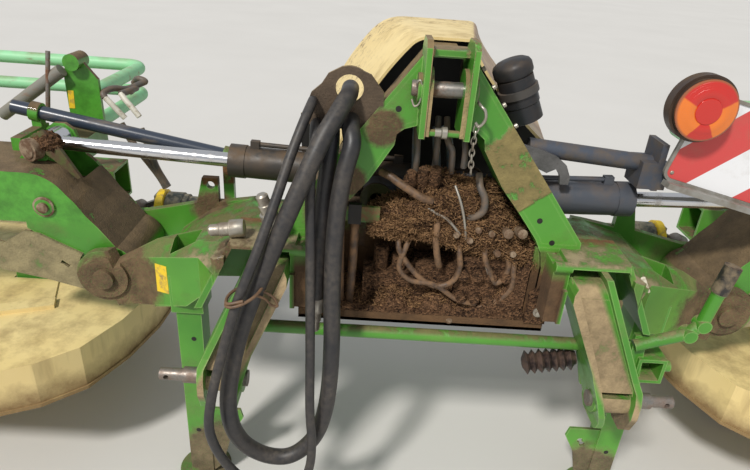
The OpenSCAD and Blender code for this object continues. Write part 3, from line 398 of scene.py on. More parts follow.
def boom_layers(s, mid):
    """Brown chaff all over the goose neck's top, olive dust on the lower plate, the front face clean."""
    front = s.both(s.facing(1, -0.6, -0.9), s.ramp(s.z, 0.725, 0.745), s.ramp(mid, 0.66, 0.6))
    top = s.both(s.facing(2, 0.25, 0.5), s.ramp(mid, 0.3, 0.38))
    low = s.both(s.ramp(s.y, 0.2215, 0.2205), s.ramp(s.z, 0.735, 0.725), s.ramp(mid, 0.3, 0.42, 0.5, 1))
    return (front, (84, 160, 52), 0.1), (top, (116, 96, 68), 1), (low, (152, 140, 104), 1)


assign(green_paint("beam_paint", [((-700, 190, 615), 0.09), ((-760, 190, 600), 0.075), ((-420, 60, 790), 0.06),
                                  ((730, 190, 615), 0.1), ((-560, 440, 700), 0.05)], layers=beam_layers),
       "beam_left", "beam_right")
assign(green_paint("bracket_paint", [((478, 0, 440), 0.05)], dust=(150, 128, 96), layers=bracket_layers),
       "hitch_bracket_left", "hitch_bracket_right")
assign(green_paint("boom_paint", [((-925, 330, 900), 0.07)], layers=boom_layers), "boom_left", "boom_right")
assign(green_paint("stand_paint", [((-500, 150, 90), 0.1), ((500, 150, 90), 0.1)], dust=(128, 112, 84)),
       "stand_left", "stand_right")
assign(green_paint("unit_paint", settled=1, film=0.7), "gearbox", "carrier_left", "carrier_right",
       "unit_gearbox_left", "unit_gearbox_right")


# Covers: cream mouldings over the tower and the mowers, with brown streaks and a dirty lower edge.
# The guard tubes behind them are pale mint, sun-bleached.
def cream_cover(name, low, high, layers=None):
    """Cream plastic, dust from above, streaks that run down it and caked dirt from height high to low."""
    s = Shader(name)
    mid, fine = s.noise(11, 6, 0.66), s.noise(160, 4)
    streak = s.ramp(s.noise(16, 4, 0.6, (1, 1, 0.12)), 0.5, 0.72)
    edge = s.ramp(s.sum("MULTIPLY_ADD", s.sum("SUBTRACT", mid, 0.5), 0.12, s.z), high, low)
    dirt = s.sum("MAXIMUM", s.both(streak, 0.5), s.both(edge, 0.9))
    dirt = s.sum("MAXIMUM", dirt, s.both(s.upward(0.5, 0.95), s.ramp(mid, 0.45, 0.7), 0.6))
    cream = s.mix(s.ramp(s.noise(3, 3), 0.3, 0.7), (222, 196, 132), (236, 214, 156))
    colour = s.mix(dirt, cream, s.mix(fine, (98, 74, 46), (146, 116, 76)))
    for mask, tone in layers(s, mid) if layers else ():
        colour = s.mix(mask, colour, tone)
    return s.finish(colour, s.ramp(dirt, 0, 1, 0.4, 0.9), s.both(fine, dirt), 0.6, 0.0015)


assign(cream_cover("mower_cover", 0.3, 0.37), "hood_left", "hood_right", "outer_guard_left", "outer_guard_right")


def pale_tube():
    """Mint paint faded by the sun, with rust-brown scratches along the tubes."""
    s = Shader("pale_tube")
    worn = s.ramp(s.noise(30, 6, 0.7, (0.25, 1, 1)), 0.56, 0.7)
    dust = s.both(s.upward(0.2, 0.95), s.ramp(s.noise(12, 5), 0.4, 0.62), 0.5)
    paint = s.mix(s.noise(4, 3), (126, 196, 142), (158, 216, 168))
    strut = s.both(s.within(s.y, 0.555, 0.612), s.ramp(s.x, -0.955, -0.962))
    paint = s.mix(strut, paint, (124, 122, 114))
    paint = s.mix(s.both(worn, 0.8), paint, (128, 92, 64))
    return s.finish(s.mix(dust, paint, (140, 122, 92)), 0.5, worn, 0.3, 0.0005)


assign(pale_tube(), "guard_frame_left", "guard_frame_right")


# Lift cylinders: dark barrels with brown grime at their ends, and chromed rods that reflect the sky.
def dark_barrel(name, paint, grime):
    """Near-black paint over steel with a soft sheen, rubbed grey, brown dust from above."""
    s = Shader(name)
    mid, fine = s.noise(22, 6, 0.65), s.noise(180, 3)
    dust = s.both(s.sum("MULTIPLY_ADD", s.upward(-0.1, 0.9), 0.7, 0.2), s.ramp(mid, 0.4, 0.66))
    return s.finish(s.mix(s.both(dust, grime), paint, (104, 84, 62)), s.ramp(dust, 0, 1, 0.36, 0.85),
                    s.both(fine, s.sum("ADD", dust, 0.2)), 0.5, 0.001, Metallic=0.25)


assign(dark_barrel("barrel_brown", (66, 62, 58), 0.95), "barrel_left")
assign(dark_barrel("barrel_slate", (78, 82, 90), 0.55), "barrel_right")


def chrome_rod():
    """Hard chrome, slightly brushed round the rod, with faint dusty smears."""
    s = Shader("chrome_rod")
    smear = s.ramp(s.noise(9, 5, 0.6, (3, 1, 1)), 0.52, 0.72)
    return s.finish(s.mix(s.both(smear, 0.35), (218, 218, 220), (150, 132, 110)), s.ramp(smear, 0, 1, 0.16, 0.42),
                    s.noise(400, 2, 0.5, (6, 1, 1)), 0.08, 0.0003, Metallic=1.0)


assign(chrome_rod(), "rod_left", "rod_right")


# Worn steel: pins, shafts, cutter bars and discs, grey where they rub and rusty brown elsewhere.
def worn_steel(name, rust, shine=0.35):
    """Bare steel with rust in blotches, brighter where it is rubbed."""
    s = Shader(name)
    mid, fine = s.noise(26, 6, 0.7), s.noise(220, 3)
    rusty = s.both(s.ramp(mid, 0.42, 0.62), rust)
    colour = s.mix(rusty, s.mix(fine, (118, 114, 108), (158, 154, 148)),
                   s.mix(fine, (84, 50, 28), (136, 88, 52)))
    return s.finish(colour, s.ramp(rusty, 0, 1, shine, 0.85), s.sum("MULTIPLY_ADD", mid, rusty, s.both(fine, 0.3)),
                    0.5, 0.0008, Metallic=s.ramp(rusty, 0, 1, 0.8, 0.05))


SIDES = ((-1, "left"), (1, "right"))
assign(worn_steel("pin_steel", 0.5), "lower_pin_left", "lower_pin_right")
assign(worn_steel("shaft_grey", 0.35, 0.4), "inner_shafts", "outer_shaft_left", "outer_shaft_right")
assign(worn_steel("bar_steel", 0.8, 0.45), "cutter_bar_left", "cutter_bar_right",
       *(f"disc_{side}_{i}" for _, side in SIDES for i in range(1, 8)))


# Marker board: a white steel plate in a grey rim, with red stripes that climb to the right.
# The plate, its bracket and its tube are one node; the striped sheet is laid on its face.
def board_grey():
    """Grey-brown dusty metal, with the round tube behind it in dark blue-grey."""
    s = Shader("board_grey")
    grime = s.both(s.ramp(s.noise(24, 5), 0.4, 0.65), 0.7)
    metal = s.mix(s.ramp(s.y, 0.208, 0.212), (150, 148, 142), (74, 80, 92))
    return s.finish(s.mix(grime, metal, (108, 92, 72)), 0.55, s.noise(150, 3), 0.3, 0.0006, Metallic=0.3)


assign(board_grey(), "marker_board")

BOARD_AT = place((502, 200, 952))
BOARD_TURN = math.radians(13.5)
BOARD_WIDTH, BOARD_HEIGHT = 0.400, 0.205
BOARD_RIM, BOARD_CORNER = 0.0075, 0.026
SHEET_FACE, SCREW_IN = 0.0012, 0.02
STRIPE_CLIMB, STRIPE_PERIOD, STRIPE_CENTRE = 0.76, 0.217, 0.5675


def board_point(across, up_board, out):
    """A point of the board: across and up along its turned edges, out towards the front."""
    across, up_board, out = np.broadcast_arrays(across, up_board, out)
    x = BOARD_AT[0] + across * math.cos(BOARD_TURN) + up_board * math.sin(BOARD_TURN)
    z = BOARD_AT[2] - across * math.sin(BOARD_TURN) + up_board * math.cos(BOARD_TURN)
    return np.stack((x, BOARD_AT[1] - out, z), -1)


def sheet_outline(sides=48):
    """Outline of the striped sheet with round corners: each corner's centre plus its radius at the angle."""
    angle = np.linspace(0, 2 * np.pi, sides, endpoint=False) + np.pi / sides
    r = BOARD_CORNER - BOARD_RIM
    x = BOARD_WIDTH / 2 + np.sign(np.cos(angle)) * (BOARD_WIDTH / 2 - BOARD_CORNER) + r * np.cos(angle)
    z = BOARD_HEIGHT / 2 + np.sign(np.sin(angle)) * (BOARD_HEIGHT / 2 - BOARD_CORNER) + r * np.sin(angle)
    return x, z


def stripe_sheet():
    """Red bands that climb to the right on retroreflective white, faded: a sawtooth of up minus climb
    times across."""
    s = Shader("stripe_sheet")
    climb = s.sum("MULTIPLY_ADD", s.x, -STRIPE_CLIMB, s.z)
    band = s.sum("FRACT", s.sum("MULTIPLY_ADD", climb, 1 / STRIPE_PERIOD, 10.5 - STRIPE_CENTRE / STRIPE_PERIOD))
    red = s.ramp(s.sum("ABSOLUTE", s.sum("SUBTRACT", band, 0.5)), 0.238, 0.244, 1, 0)
    weave = s.noise(900, 1)
    colour = s.mix(red, s.mix(weave, (222, 222, 224), (238, 238, 240)),
                   s.mix(weave, (196, 62, 62), (214, 84, 80)))
    dust = s.both(s.ramp(s.noise(9, 6, 0.7), 0.5, 0.75), 0.35)
    return s.finish(s.mix(dust, colour, (140, 124, 98)), 0.42, weave, 0.1, 0.0002)


sheet_rings = np.stack([board_point(*sheet_outline(), out) for out in (0.0002, SHEET_FACE)])
skin("marker_sheet", sheet_rings, stripe_sheet())
screw_at = [board_point(x, z, SHEET_FACE) for x in (SCREW_IN, BOARD_WIDTH - SCREW_IN)
            for z in (SCREW_IN, BOARD_HEIGHT - SCREW_IN)]
skin("marker_screws", turned(((4.5, 0), (4.5, 1), (3, 2.2)), screw_at, (0, -1, 0), 12), BRIGHT_STEEL)


# Rear lamp: a round lamp in front of the board, red above and in the middle, amber below.
# The lens is a moulded dish with fine rings, in a dusty black ring.
def lens_material():
    """Clear-coloured plastic: amber in two lower side wedges, red elsewhere, brown round the rim."""
    s = Shader("lamp_lens")
    x, z = s.sum("SUBTRACT", s.x, LAMP_AT[0]), s.sum("SUBTRACT", s.z, LAMP_AT[2])
    radius = s.sum("SQRT", s.sum("MULTIPLY_ADD", x, x, s.both(z, z)))
    low = s.both(s.ramp(s.sum("MULTIPLY_ADD", s.sum("ABSOLUTE", x), -0.55, z), -0.004, -0.008),
                 s.ramp(s.sum("MULTIPLY_ADD", s.sum("ABSOLUTE", x), 1.5, z), -0.014, -0.01),
                 s.ramp(radius, 0.026, 0.028))
    colour = s.mix(s.ramp(radius, 0.058, 0.062), s.mix(low, (196, 40, 30), (226, 118, 34)), (150, 86, 52))
    rings = s.sum("MULTIPLY_ADD", s.noise(300, 2), 0.4, s.sum("FRACT", s.both(radius, 240)))
    return s.finish(colour, 0.22, rings, 0.35, 0.0006, Coat_Weight=0.6)


assign(dark_barrel("lamp_body", (66, 52, 44), 0.8), "lamp")
LAMP_AT = place((535, 160, 1116))
LENS = ((63.5, 0), (63.5, 4), (58, 6.8), (52, 6.8), (46, 9.5), (30, 11.5), (27, 10), (26, 11.8), (12, 12.8),
        (2, 13))
skin("lamp_lens", turned(LENS, LAMP_AT, (0, -1, 0), 72), lens_material())


# Curtains: a heavy black cloth hangs from each mower hood's rear edge, in soft waves.
# It was cut as a plain strip and is riveted along its top.
def curtain_cloth():
    """Black coated fabric: a fine weave, dusty and green-brown towards its hem."""
    s = Shader("curtain_cloth")
    weave = s.both(*(s.sum("SINE", s.both(way, 2600)) for way in (s.x, s.z)))
    dust = s.both(s.ramp(s.z, 0.28, 0.12), s.ramp(s.noise(8, 6, 0.7), 0.35, 0.65))
    return s.finish(s.mix(dust, (40, 41, 42), (104, 96, 70)), 0.85, weave, 0.25, 0.0004, Sheen_Weight=0.25)


CURTAIN_CLOTH = curtain_cloth()
CURTAIN_X, CURTAIN_Z = (1.0705, 4.2795), (0.1205, 0.2895)
CURTAIN_Y, CURTAIN_T = 0.998 - Y_MID, 0.0012


def curtain(sign, side):
    """A hanging strip: its depth waves along its length, the more the lower it is."""
    x = np.linspace(*CURTAIN_X, 420)
    z = np.linspace(CURTAIN_Z[1], CURTAIN_Z[0], 14)
    drop = ((CURTAIN_Z[1] - z) / (CURTAIN_Z[1] - CURTAIN_Z[0]))[:, None]
    wave = 0.004 * drop * (np.sin(41 * x + 0.9 * np.sin(7 * x)) + 0.5 * np.sin(97 * x + 2))[None]
    front = np.stack(np.broadcast_arrays(sign * x[None], CURTAIN_Y + wave - CURTAIN_T / 2, z[:, None]), -1)
    back = front + (0, CURTAIN_T, 0)
    shells = np.concatenate((front, back[::-1]), 0).transpose(1, 0, 2)
    piece = skin(f"curtain_{side}_cloth", shells, CURTAIN_CLOTH, f"wing_{side}")
    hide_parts(f"curtain_{side}")


for sign, side in SIDES:
    curtain(sign, side)


# Hose sleeve: a stiff blue-black sleeve round the wing's hoses, from the beam's clamp to the boom's.
SLEEVE_SHELL = filmed("sleeve_shell", (52, 60, 74), (112, 100, 86), 1.0, (18, 6, 0.7, (0.3, 1, 1)), (0.52, 0.7),
                      (0.28, 0.7), (200, 3), 0.2, 0.0005)
SLEEVE_IN, SLEEVE_OUT = place(((-516, 476, 838), (-1014, 476, 926)))
SLEEVE_END = 0.06
sleeve_way = (SLEEVE_OUT - SLEEVE_IN) / np.linalg.norm(SLEEVE_OUT - SLEEVE_IN)
sleeve_line = np.linspace(SLEEVE_IN - SLEEVE_END * sleeve_way, SLEEVE_OUT + SLEEVE_END * sleeve_way, 90)
sleeve = skin("sleeve_shell", tube(sleeve_line, 0.018, 28), SLEEVE_SHELL, None)
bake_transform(sleeve)
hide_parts("sleeve_left")


# Tower: two folded legs that lean back above the beam, the clevis of the upper link, the tray under
# the valves and the plates that carry the hoses, the canister and the feet of the lift cylinders.
# Every plate is drawn by its corners in millimetres, in the source's drawing frame.
def slab(outline, low, high, axis=1):
    """A flat plate: its outline at depth low along the axis and again at depth high, joined by walls."""
    flat = np.array(outline, float)
    count = len(flat)
    points = np.concatenate([np.insert(flat, axis, depth, 1) for depth in (low, high)])
    k = np.arange(count)
    walls = np.stack((k, (k + 1) % count, (k + 1) % count + count, k + count), 1).tolist()
    return points, [k[::-1].tolist(), (k + count).tolist()] + walls


def block(x0, x1, y0, y1, z0, z1):
    """A box from its six limits."""
    return slab([(x0, z0), (x1, z0), (x1, z1), (x0, z1)], y0, y1)


def rim(outer, inner, low, high):
    """What is left of a plate between two outlines with as many points: a ring of four-sided section."""
    rows = [np.insert(np.array(line, float), 1, depth, 1)
            for line, depth in ((outer, low), (outer, high), (inner, high), (inner, low))]
    count = len(outer)
    row, k = np.meshgrid(np.arange(4), np.arange(count), indexing="ij")
    beyond, ahead_one = (row + 1) % 4 * count, (k + 1) % count
    faces = np.stack((row * count + k, row * count + ahead_one, beyond + ahead_one, beyond + k), -1)
    return np.concatenate(rows), faces.reshape(-1, 4).tolist()


def inset(outline, depth):
    """The outline moved inwards: every corner goes along the sum of its two edges' normals."""
    p = np.array(outline, float)
    u, v = p - np.roll(p, 1, 0), np.roll(p, -1, 0) - p
    u, v = (w / np.linalg.norm(w, axis=1, keepdims=True) for w in (u, v))
    return p + depth * np.stack((-u[:, 1] - v[:, 1], u[:, 0] + v[:, 0]), 1) / (1 + (u * v).sum(1))[:, None]


def turned_over(solid, sign):
    """The solid, or for sign -1 its mirror image across the middle of the machine."""
    return solid[0] * (sign, 1, 1), solid[1]


def fused(name, solids, material, body="headstock"):
    """One piece from several closed solids, each turned outward by the sign of its volume."""
    points, faces, first = [], [], 0
    for corners, own in solids:
        corners = place(corners)
        volume = sum(corners[f[0]] @ np.cross(corners[f[i]], corners[f[i + 1]])
                     for f in own for i in range(1, len(f) - 1))
        faces += [[first + i for i in (f if volume > 0 else f[::-1])] for f in own]
        points.append(corners)
        first += len(corners)
    return new_piece(name, np.concatenate(points), faces, material, body)


def tower_layers(s, mid):
    """Where the tower isn't green: brown flanges and tray, olive dust on the right leg, a brown ring plate."""
    rag = s.sum("SUBTRACT", mid, 0.5)
    patch = s.ramp(mid, 0.36, 0.44)
    above = s.ramp(s.z, 0.825, 0.835)
    along = s.sum("MULTIPLY_ADD", s.x, 0.605, s.both(s.z, -0.796))
    front = s.facing(1, -0.5, -0.8)
    olive = s.both(front, above, s.ramp(s.x, 0.05, 0.055), s.ramp(along, -0.592, -0.596),
                   s.ramp(s.sum("MULTIPLY_ADD", rag, 0.09, along), -0.757, -0.747), s.ramp(mid, 0.28, 0.36, 0.5, 1))
    flange = s.both(s.facing(0, -0.35, -0.5), above, s.ramp(s.x, -0.05, -0.06),
                    s.ramp(s.noise(14, 5, 0.7, stretch=(1, 1, 0.3)), 0.36, 0.44))
    ring = s.both(s.within(s.y, 0.1385, 0.1515, 0.0005), s.ramp(s.x, -0.118, -0.122), s.ramp(s.z, 1.03, 1.034))
    grey = s.both(s.ramp(s.y, 0.216, 0.219), s.ramp(s.z, 0.905, 0.91), s.ramp(s.x, 0.16, 0.17))
    side = s.sum("ABSOLUTE", s.x)
    bay = s.both(s.within(s.z, 0.587, 0.802), s.ramp(s.y, 0.1035, 0.1045), s.ramp(side, 0.2845, 0.2835),
                 s.ramp(s.sum("MULTIPLY_ADD", rag, 0.2, s.z), 0.80, 0.74, 0.35, 1))
    anchor = s.both(s.within(s.y, 0.235, 0.41), s.ramp(s.z, 0.779, 0.782), s.ramp(side, 0.2, 0.19))
    doubler = s.both(s.within(side, 0.0295, 0.0395, 0.0004), s.ramp(s.z, 1.04, 1.045), front, patch)
    cheek = s.both(s.facing(2, 0.3, 0.6), s.ramp(s.z, 1.05, 1.06), patch)
    return ((flange, (112, 94, 68), 1), (s.both(olive, patch), (138, 124, 78), 1), (ring, (98, 82, 66), 1),
            (grey, (100, 98, 98), 0.6), (bay, (104, 76, 48), 1), (anchor, (84, 66, 46), 1),
            (doubler, (172, 150, 108), 1), (cheek, (140, 118, 82), 1))


TOWER_PAINT = green_paint("tower_paint", layers=tower_layers, caked=(
    ((-118, 135, 1045), 0.034), ((-178, 122, 930), 0.03), ((-222, 114, 865), 0.05)))
LEG = ((236.5, 809), (328, 809), (328, 824), (42, 1202), (42, 1056), (75, 1046), (90, 1034), (93, 1012), (141, 934),
       (186, 880), (227, 827))
LEG_FOOT = ((252, 660), (284, 660), (284, 810), (235, 810), (244, 795), (252, 758))
LEG_FRONT, LEG_BACK, PLATE = 105, 225, 10
LEG_LEAN = math.radians(7)
LEAN_AT = np.array((0, LEG_FRONT, 810))
CHEEK = ((79, 1042), (184, 1042), (184, 1203), (155, 1226), (97, 1226), (79, 1213))
TOP_PIN, PIN_HALF = (125, 1130), 69
HOSE_FACE = 140
RING_AT, RING_WIDE, RING_HOLE = np.array((-190, 1116)), 44, 28
LOBE = ((-148, 1145), (-173, 1155), (-206, 1158), (-233, 1143), (-246, 1122), (-266, 1104), (-275, 1078),
        (-277, 1050), (-264, 1034), (-128, 1034), (-120, 1110))
HOOK = ((176, 1006), (205, 998), (240, 990), (275, 978), (300, 959), (313, 932), (312, 914), (293, 914),
        (289, 934), (278, 950), (258, 939), (236, 948), (222, 930), (205, 936))
ANCHOR_Y, ANCHOR_T = ((328, 398), (238, 308)), 8


def leaned(solid):
    """The solid turned back about the front foot of the legs."""
    points = solid[0] - LEAN_AT
    c, s = math.cos(LEG_LEAN), math.sin(LEG_LEAN)
    turned_back = np.stack((points[:, 0], c * points[:, 1] + s * points[:, 2], c * points[:, 2] - s * points[:, 1]), 1)
    return turned_back + LEAN_AT, solid[1]


def folded(outline):
    """A plate with its edges folded back all round: the face and the rim behind it."""
    return [slab(outline, LEG_FRONT, LEG_FRONT + PLATE),
            rim(outline, inset(outline, PLATE - 1), LEG_FRONT + 1, LEG_BACK)]


def round_outline(centre, radius, start=0.0, end=2 * np.pi, count=40):
    """Points on a circle from one angle to another."""
    angle = np.linspace(start, end, count, endpoint=end - start < 2 * np.pi)
    return np.array(centre) + radius * np.stack((np.cos(angle), np.sin(angle)), 1)


doubler = [(83, 1046), (167, 1046)] + round_outline(TOP_PIN, 42, 0, np.pi, 24).tolist()
tower_solids = [block(-39, 39, 130, 190, 1192, 1204), block(-284, 284, 105, 263, 590, 598),
                block(-284, 284, 105, 113, 590, 616), block(-284, 284, 262, 400, 567, 790),
                block(-30, 30, 150, 340, 1186, 1194), block(-30, 30, 330, 340, 1186, 1199), slab(HOOK, 220, 232)]
for sign in (-1, 1):
    half = [leaned(solid) for solid in folded(LEG)] + folded(LEG_FOOT)
    half += [slab(CHEEK, 38, 50, 0), slab(doubler, 30, 39, 0), slab(round_outline(TOP_PIN, 30), 49, 58, 0),
             block(236, 284, 119, 127, 591, 801)]
    tower_solids += [turned_over(solid, sign) for solid in half]
for foot_x, lugs in zip((120, -120), ANCHOR_Y):
    lug = [(foot_x - 38, 789), (foot_x + 38, 789)] + round_outline((foot_x, 842), 38, 0, np.pi, 24).tolist()
    tower_solids += [slab(lug, y, y + ANCHOR_T) for y in lugs]
    tower_solids.append(slab(round_outline((foot_x, 842), 15), lugs[0], lugs[1] + ANCHOR_T))
lobe = np.array(LOBE, float)
lobe = np.concatenate([a + (b - a) * np.linspace(0, 1, 8, endpoint=False)[:, None]
                       for a, b in zip(lobe, np.roll(lobe, -1, 0))]) - RING_AT
reach = np.linalg.norm(lobe, axis=1, keepdims=True)
tower_solids.append(rim(lobe / reach * np.maximum(reach, RING_WIDE) + RING_AT, lobe / reach * RING_HOLE + RING_AT,
                        HOSE_FACE, HOSE_FACE + PLATE))
tower = fused("tower_plates", tower_solids, TOWER_PAINT)
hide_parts("tower")
skin("tower_tubes", [tube(place(np.linspace(a, b, 5)), r, 32) for a, b, r in (
    ((-372, 95, 567), (372, 95, 567), 0.015), ((-31, 93, 1052), (31, 93, 1052), 0.007))], TOWER_PAINT)
PIN = ((14.5, 0), (15.9, 3), (15.9, 119), (15.9, 129), (14.5, 131))
pin = skin("upper_link_pin", turned(PIN, place((-PIN_HALF, *TOP_PIN)), (1, 0, 0), 40), worn_steel("top_pin_steel", 0.9))
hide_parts("top_link_pin")

CANISTER_AT = place((197, 243, 1050))
CANISTER_LEAN = math.radians(24.4)
CANISTER_WAY = (-math.sin(CANISTER_LEAN), 0, math.cos(CANISTER_LEAN))
CANISTER = ((30, 0), (37, 3), (37, 39), (39, 41), (39, 60), (39, 100), (36.5, 102), (36.5, 104), (41, 105),
            (42.5, 109), (42.5, 124), (39, 131), (30, 136.5), (12, 140))
canister = skin("canister_shell", turned(CANISTER, CANISTER_AT, CANISTER_WAY, 64),
                dark_barrel("canister_black", (40, 42, 46), 0.5))
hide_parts("canister")
CLAMP = ((40, 60), (43.5, 61), (43.5, 77), (40, 78))
skin("canister_clamp", turned(CLAMP, CANISTER_AT, CANISTER_WAY, 64), dark_barrel("clamp_dark", (74, 72, 70), 0.6))


# Cover: a cream moulded arch over the tower, open to the front and closed by a wall at its back.
# Its flat top widens to the rear; each flank is a quadratic curve down to its foot.
COVER_Y = (290, 340, 390, 424.5, 425.5, 470, 515, 559.5, 560.5, 600, 640)
COVER_TOP, COVER_FOOT, COVER_T = 1205, 870, 6
OVER_RAMS, RAMS_Y, OVER_BOOMS, BOOMS_Y = 950, 425, 926, 560
WALL_FRONT, WALL_BACK = 632, 638
COVER_SIDES = ((70, (100, 1105), 410, 10, 52, 985), (53, (167, 1080), 254, 25, 68, COVER_FOOT))


def cover_half(flat, middle, foot, bend, spread, lowest, y, samples=14):
    """One half of the arch at depth y: flat top, rounded shoulder and flank, cut off over the cylinders
    in front and over the folded booms at the back."""
    share = (y - COVER_Y[0]) / (COVER_Y[-1] - COVER_Y[0])
    out = np.array((share * spread, 0.0))
    corner = np.array((flat, COVER_TOP)) + out
    middle = np.array(middle) + out
    bend = bend * (1 + share)
    start = corner + bend * (middle - corner) / np.linalg.norm(middle - corner)

    def curve(a, b, c, s):
        return (1 - s) ** 2 * a + 2 * s * (1 - s) * b + s * s * c

    foot = np.array((foot, COVER_FOOT)) + out
    cut = max(lowest, OVER_RAMS if y < RAMS_Y else OVER_BOOMS if y > BOOMS_Y else COVER_FOOT)
    s = np.linspace(0, 1, 200)
    end = np.interp(-cut, -curve(start[1], middle[1], foot[1], s), s)
    shoulder = curve(corner - (bend, 0), corner, start, np.linspace(0, 1, 6)[:, None])
    return np.vstack((shoulder, curve(start, middle, foot, np.linspace(0, end, samples)[1:, None])))


def cover_arch(y, depth=0.0):
    """The whole arch from the right foot over the top to the left foot, moved in by a depth."""
    right_half, left_half = (cover_half(*values, y) for values in COVER_SIDES)
    line = np.vstack((right_half[::-1], left_half * (-1, 1)))
    way = np.gradient(line, axis=0)
    way /= np.linalg.norm(way, axis=1, keepdims=True)
    return line + depth * np.stack((-way[:, 1], way[:, 0]), 1)


def cover_layers(s, mid):
    """Painted shade: near-black on the undersides inside and on the back wall's front face, and a darker tan on the
    right-facing side; brown specks on the left flank and the rear of the top.
    """
    specks = s.ramp(s.noise(60, 6, 0.75), 0.52, 0.62)
    left = s.both(specks, s.sum("MAXIMUM", s.ramp(s.x, -0.1, -0.22), s.ramp(s.y, 0.42, 0.6)), s.ramp(mid, 0.35, 0.6))
    # painted shade: the faces that look right, away from the key, darker tan
    right = s.both(s.facing(0, 0.35, 0.6), s.ramp(mid, 0.35, 0.5, 0.5, 0.9))
    # painted shade: near-black on the faces that look down and on the back wall's front face
    painted_shade_inside = s.sum("MAXIMUM", s.facing(2, -0.05, -0.15), s.both(s.facing(1, -0.5, -0.7), s.ramp(s.y, 0.59, 0.6)))
    return (left, (112, 84, 54)), (right, (158, 126, 98)), (painted_shade_inside, (26, 24, 22))


CENTRE_COVER = cream_cover("centre_cover", 0.87, 0.91, cover_layers)
arch_rows = np.stack([np.insert(cover_arch(y), 1, y, 1) for y in COVER_Y]
                     + [np.insert(cover_arch(y, COVER_T), 1, y, 1) for y in COVER_Y[::-1]], 1)
cover = skin("cover_arch", place(arch_rows), CENTRE_COVER)
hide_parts("centre_hood")
wall_side = np.array(((260, 688.3), (340, 800), (345, COVER_FOOT), (345, OVER_BOOMS)))
wall = np.vstack((wall_side, cover_arch(WALL_FRONT, COVER_T / 2), wall_side[::-1] * (-1, 1)))
# the wall's front face takes the cover's painted shade, near-black
fused("cover_back", [slab(wall, WALL_FRONT, WALL_BACK)], CENTRE_COVER)


# Dry grass: the valve bay between the legs is full of brown chaff and stalks. One heap covers the valves
# and hangs over a dark hollow, one lies on the tray, and short stalks lie on both.
def lumps(x, y, seed, size):
    """Rough ground: a sum of sine waves in random directions, each finer one lower than the one before."""
    draw = np.random.default_rng(seed)
    total, height = 0.0, 1.0
    for _ in range(6):
        for _ in range(3):
            way, phase = draw.uniform(0, 2 * np.pi, 2)
            total = total + height * np.sin((x * math.cos(way) + y * math.sin(way)) * 2 * np.pi / size + phase)
        height, size = height * 0.6, size * 0.5
    return total / 3


def dry_grass(name, dark=(40, 29, 22), light=(128, 96, 70)):
    """Rotting chaff: cells of many browns from dark to straw, quite matt and very rough."""
    s = Shader(name)
    cell = s.add("ShaderNodeTexVoronoi", {"feature": "F1"}, Vector=s.place, Scale=230.0)
    tone = s.add("ShaderNodeSeparateXYZ", in0=cell.outputs["Color"]).outputs[0]
    tone = s.sum("MULTIPLY_ADD", s.noise(26, 5), 0.8, s.both(tone, 0.6))
    relief = s.sum("ADD", s.noise(300, 4), cell.outputs["Distance"])
    return s.finish(s.mix(s.ramp(tone, 0.35, 1.1), dark, light), 0.95, relief, 1.0, 0.004,
                    Specular_IOR_Level=0.15)


DRY_GRASS = dry_grass("dry_grass")
assign(DRY_GRASS, "valve_block")
STRAW = dry_grass("straw", (84, 60, 40), (176, 138, 98))
TRAY_TOP = 0.5983
BANK_X, BANK_Y, BANK_STALKS = (-0.232, 0.232), (0.1132, 0.2600), 2600


def bank_height(x, y):
    """The heap on the tray: low in the middle, climbing to the back and up the right jamb, with lumps."""
    back = np.clip((y - BANK_Y[0]) / (BANK_Y[1] - BANK_Y[0]), 0, 1)
    rise = 0.03 + 0.085 * back + 0.13 * np.exp(-((x - 0.235) / 0.055) ** 2)
    rise = rise * np.clip((x + 0.13) / 0.06, 0.25, 1)
    return np.clip(rise + 0.014 * lumps(x, y, 4, 0.11), 0.004, 0.21 - 0.07 * back)


MOUND_X, MOUND_BACK, MOUND_LUMP, MOUND_STALKS = (-0.14, 0.246), 0.232, 0.008, 5200
MOUND_TOP = ((-0.14, 0.835), (-0.10, 0.858), (-0.055, 0.878), (-0.03, 0.925), (0.02, 0.932), (0.06, 0.915),
             (0.138, 0.91), (0.175, 0.869), (0.223, 0.825), (0.246, 0.79))
MOUND_UNDER = ((-0.14, 0.81), (-0.10, 0.80), (-0.03, 0.79), (0.04, 0.775), (0.10, 0.765), (0.16, 0.755),
               (0.22, 0.745), (0.246, 0.74))
MOUND_SECTION = ((0.225, 0.0), (0.17, -0.01), (0.135, 0.02), (0.124, 0.14), (0.121, 0.32), (0.125, 0.5), (0.139, 0.66),
                 (0.16, 0.82), (0.18, 0.93), (0.20, 1.0), (0.218, 1.02), (MOUND_BACK, 0.97), (MOUND_BACK, 0.3))


def mound():
    """The heap over the valves: across each x, a closed section from its dark underside up the front,
    back over the top and down behind, roughened by the same waves."""
    x = np.linspace(*MOUND_X, 190)
    top, under = (np.interp(x, *zip(*line)) for line in (MOUND_TOP, MOUND_UNDER))
    section = np.array(MOUND_SECTION)
    t = np.linspace(0, len(section) - 1, 96)
    y, share = (np.interp(t, np.arange(len(section)), section[:, i]) for i in (0, 1))
    z = under[:, None] + share[None] * (top - under)[:, None]
    gx = np.broadcast_to(x[:, None], z.shape)
    rough = MOUND_LUMP * lumps(gx + y[None], z + 0.7 * y[None], 7, 0.085) * np.clip((MOUND_BACK - y) / 0.03, 0, 1)
    return np.stack((gx, y[None] - Y_MID - rough, z + rough), -1)


def heap(name, span_x, span_y, base, height, cells=(150, 60)):
    """A closed heap on a flat base: over each x, the top runs back along y and the base returns."""
    gx, gy = np.meshgrid(np.linspace(*span_x, cells[0]), np.linspace(*span_y, cells[1]), indexing="ij")
    top = np.stack((gx, gy - Y_MID, base + height(gx, gy)), -1)
    bottom = np.stack((gx, gy - Y_MID, np.full_like(gx, base)), -1)[:, ::-1]
    skin(name, np.concatenate((top, bottom), 1), DRY_GRASS)


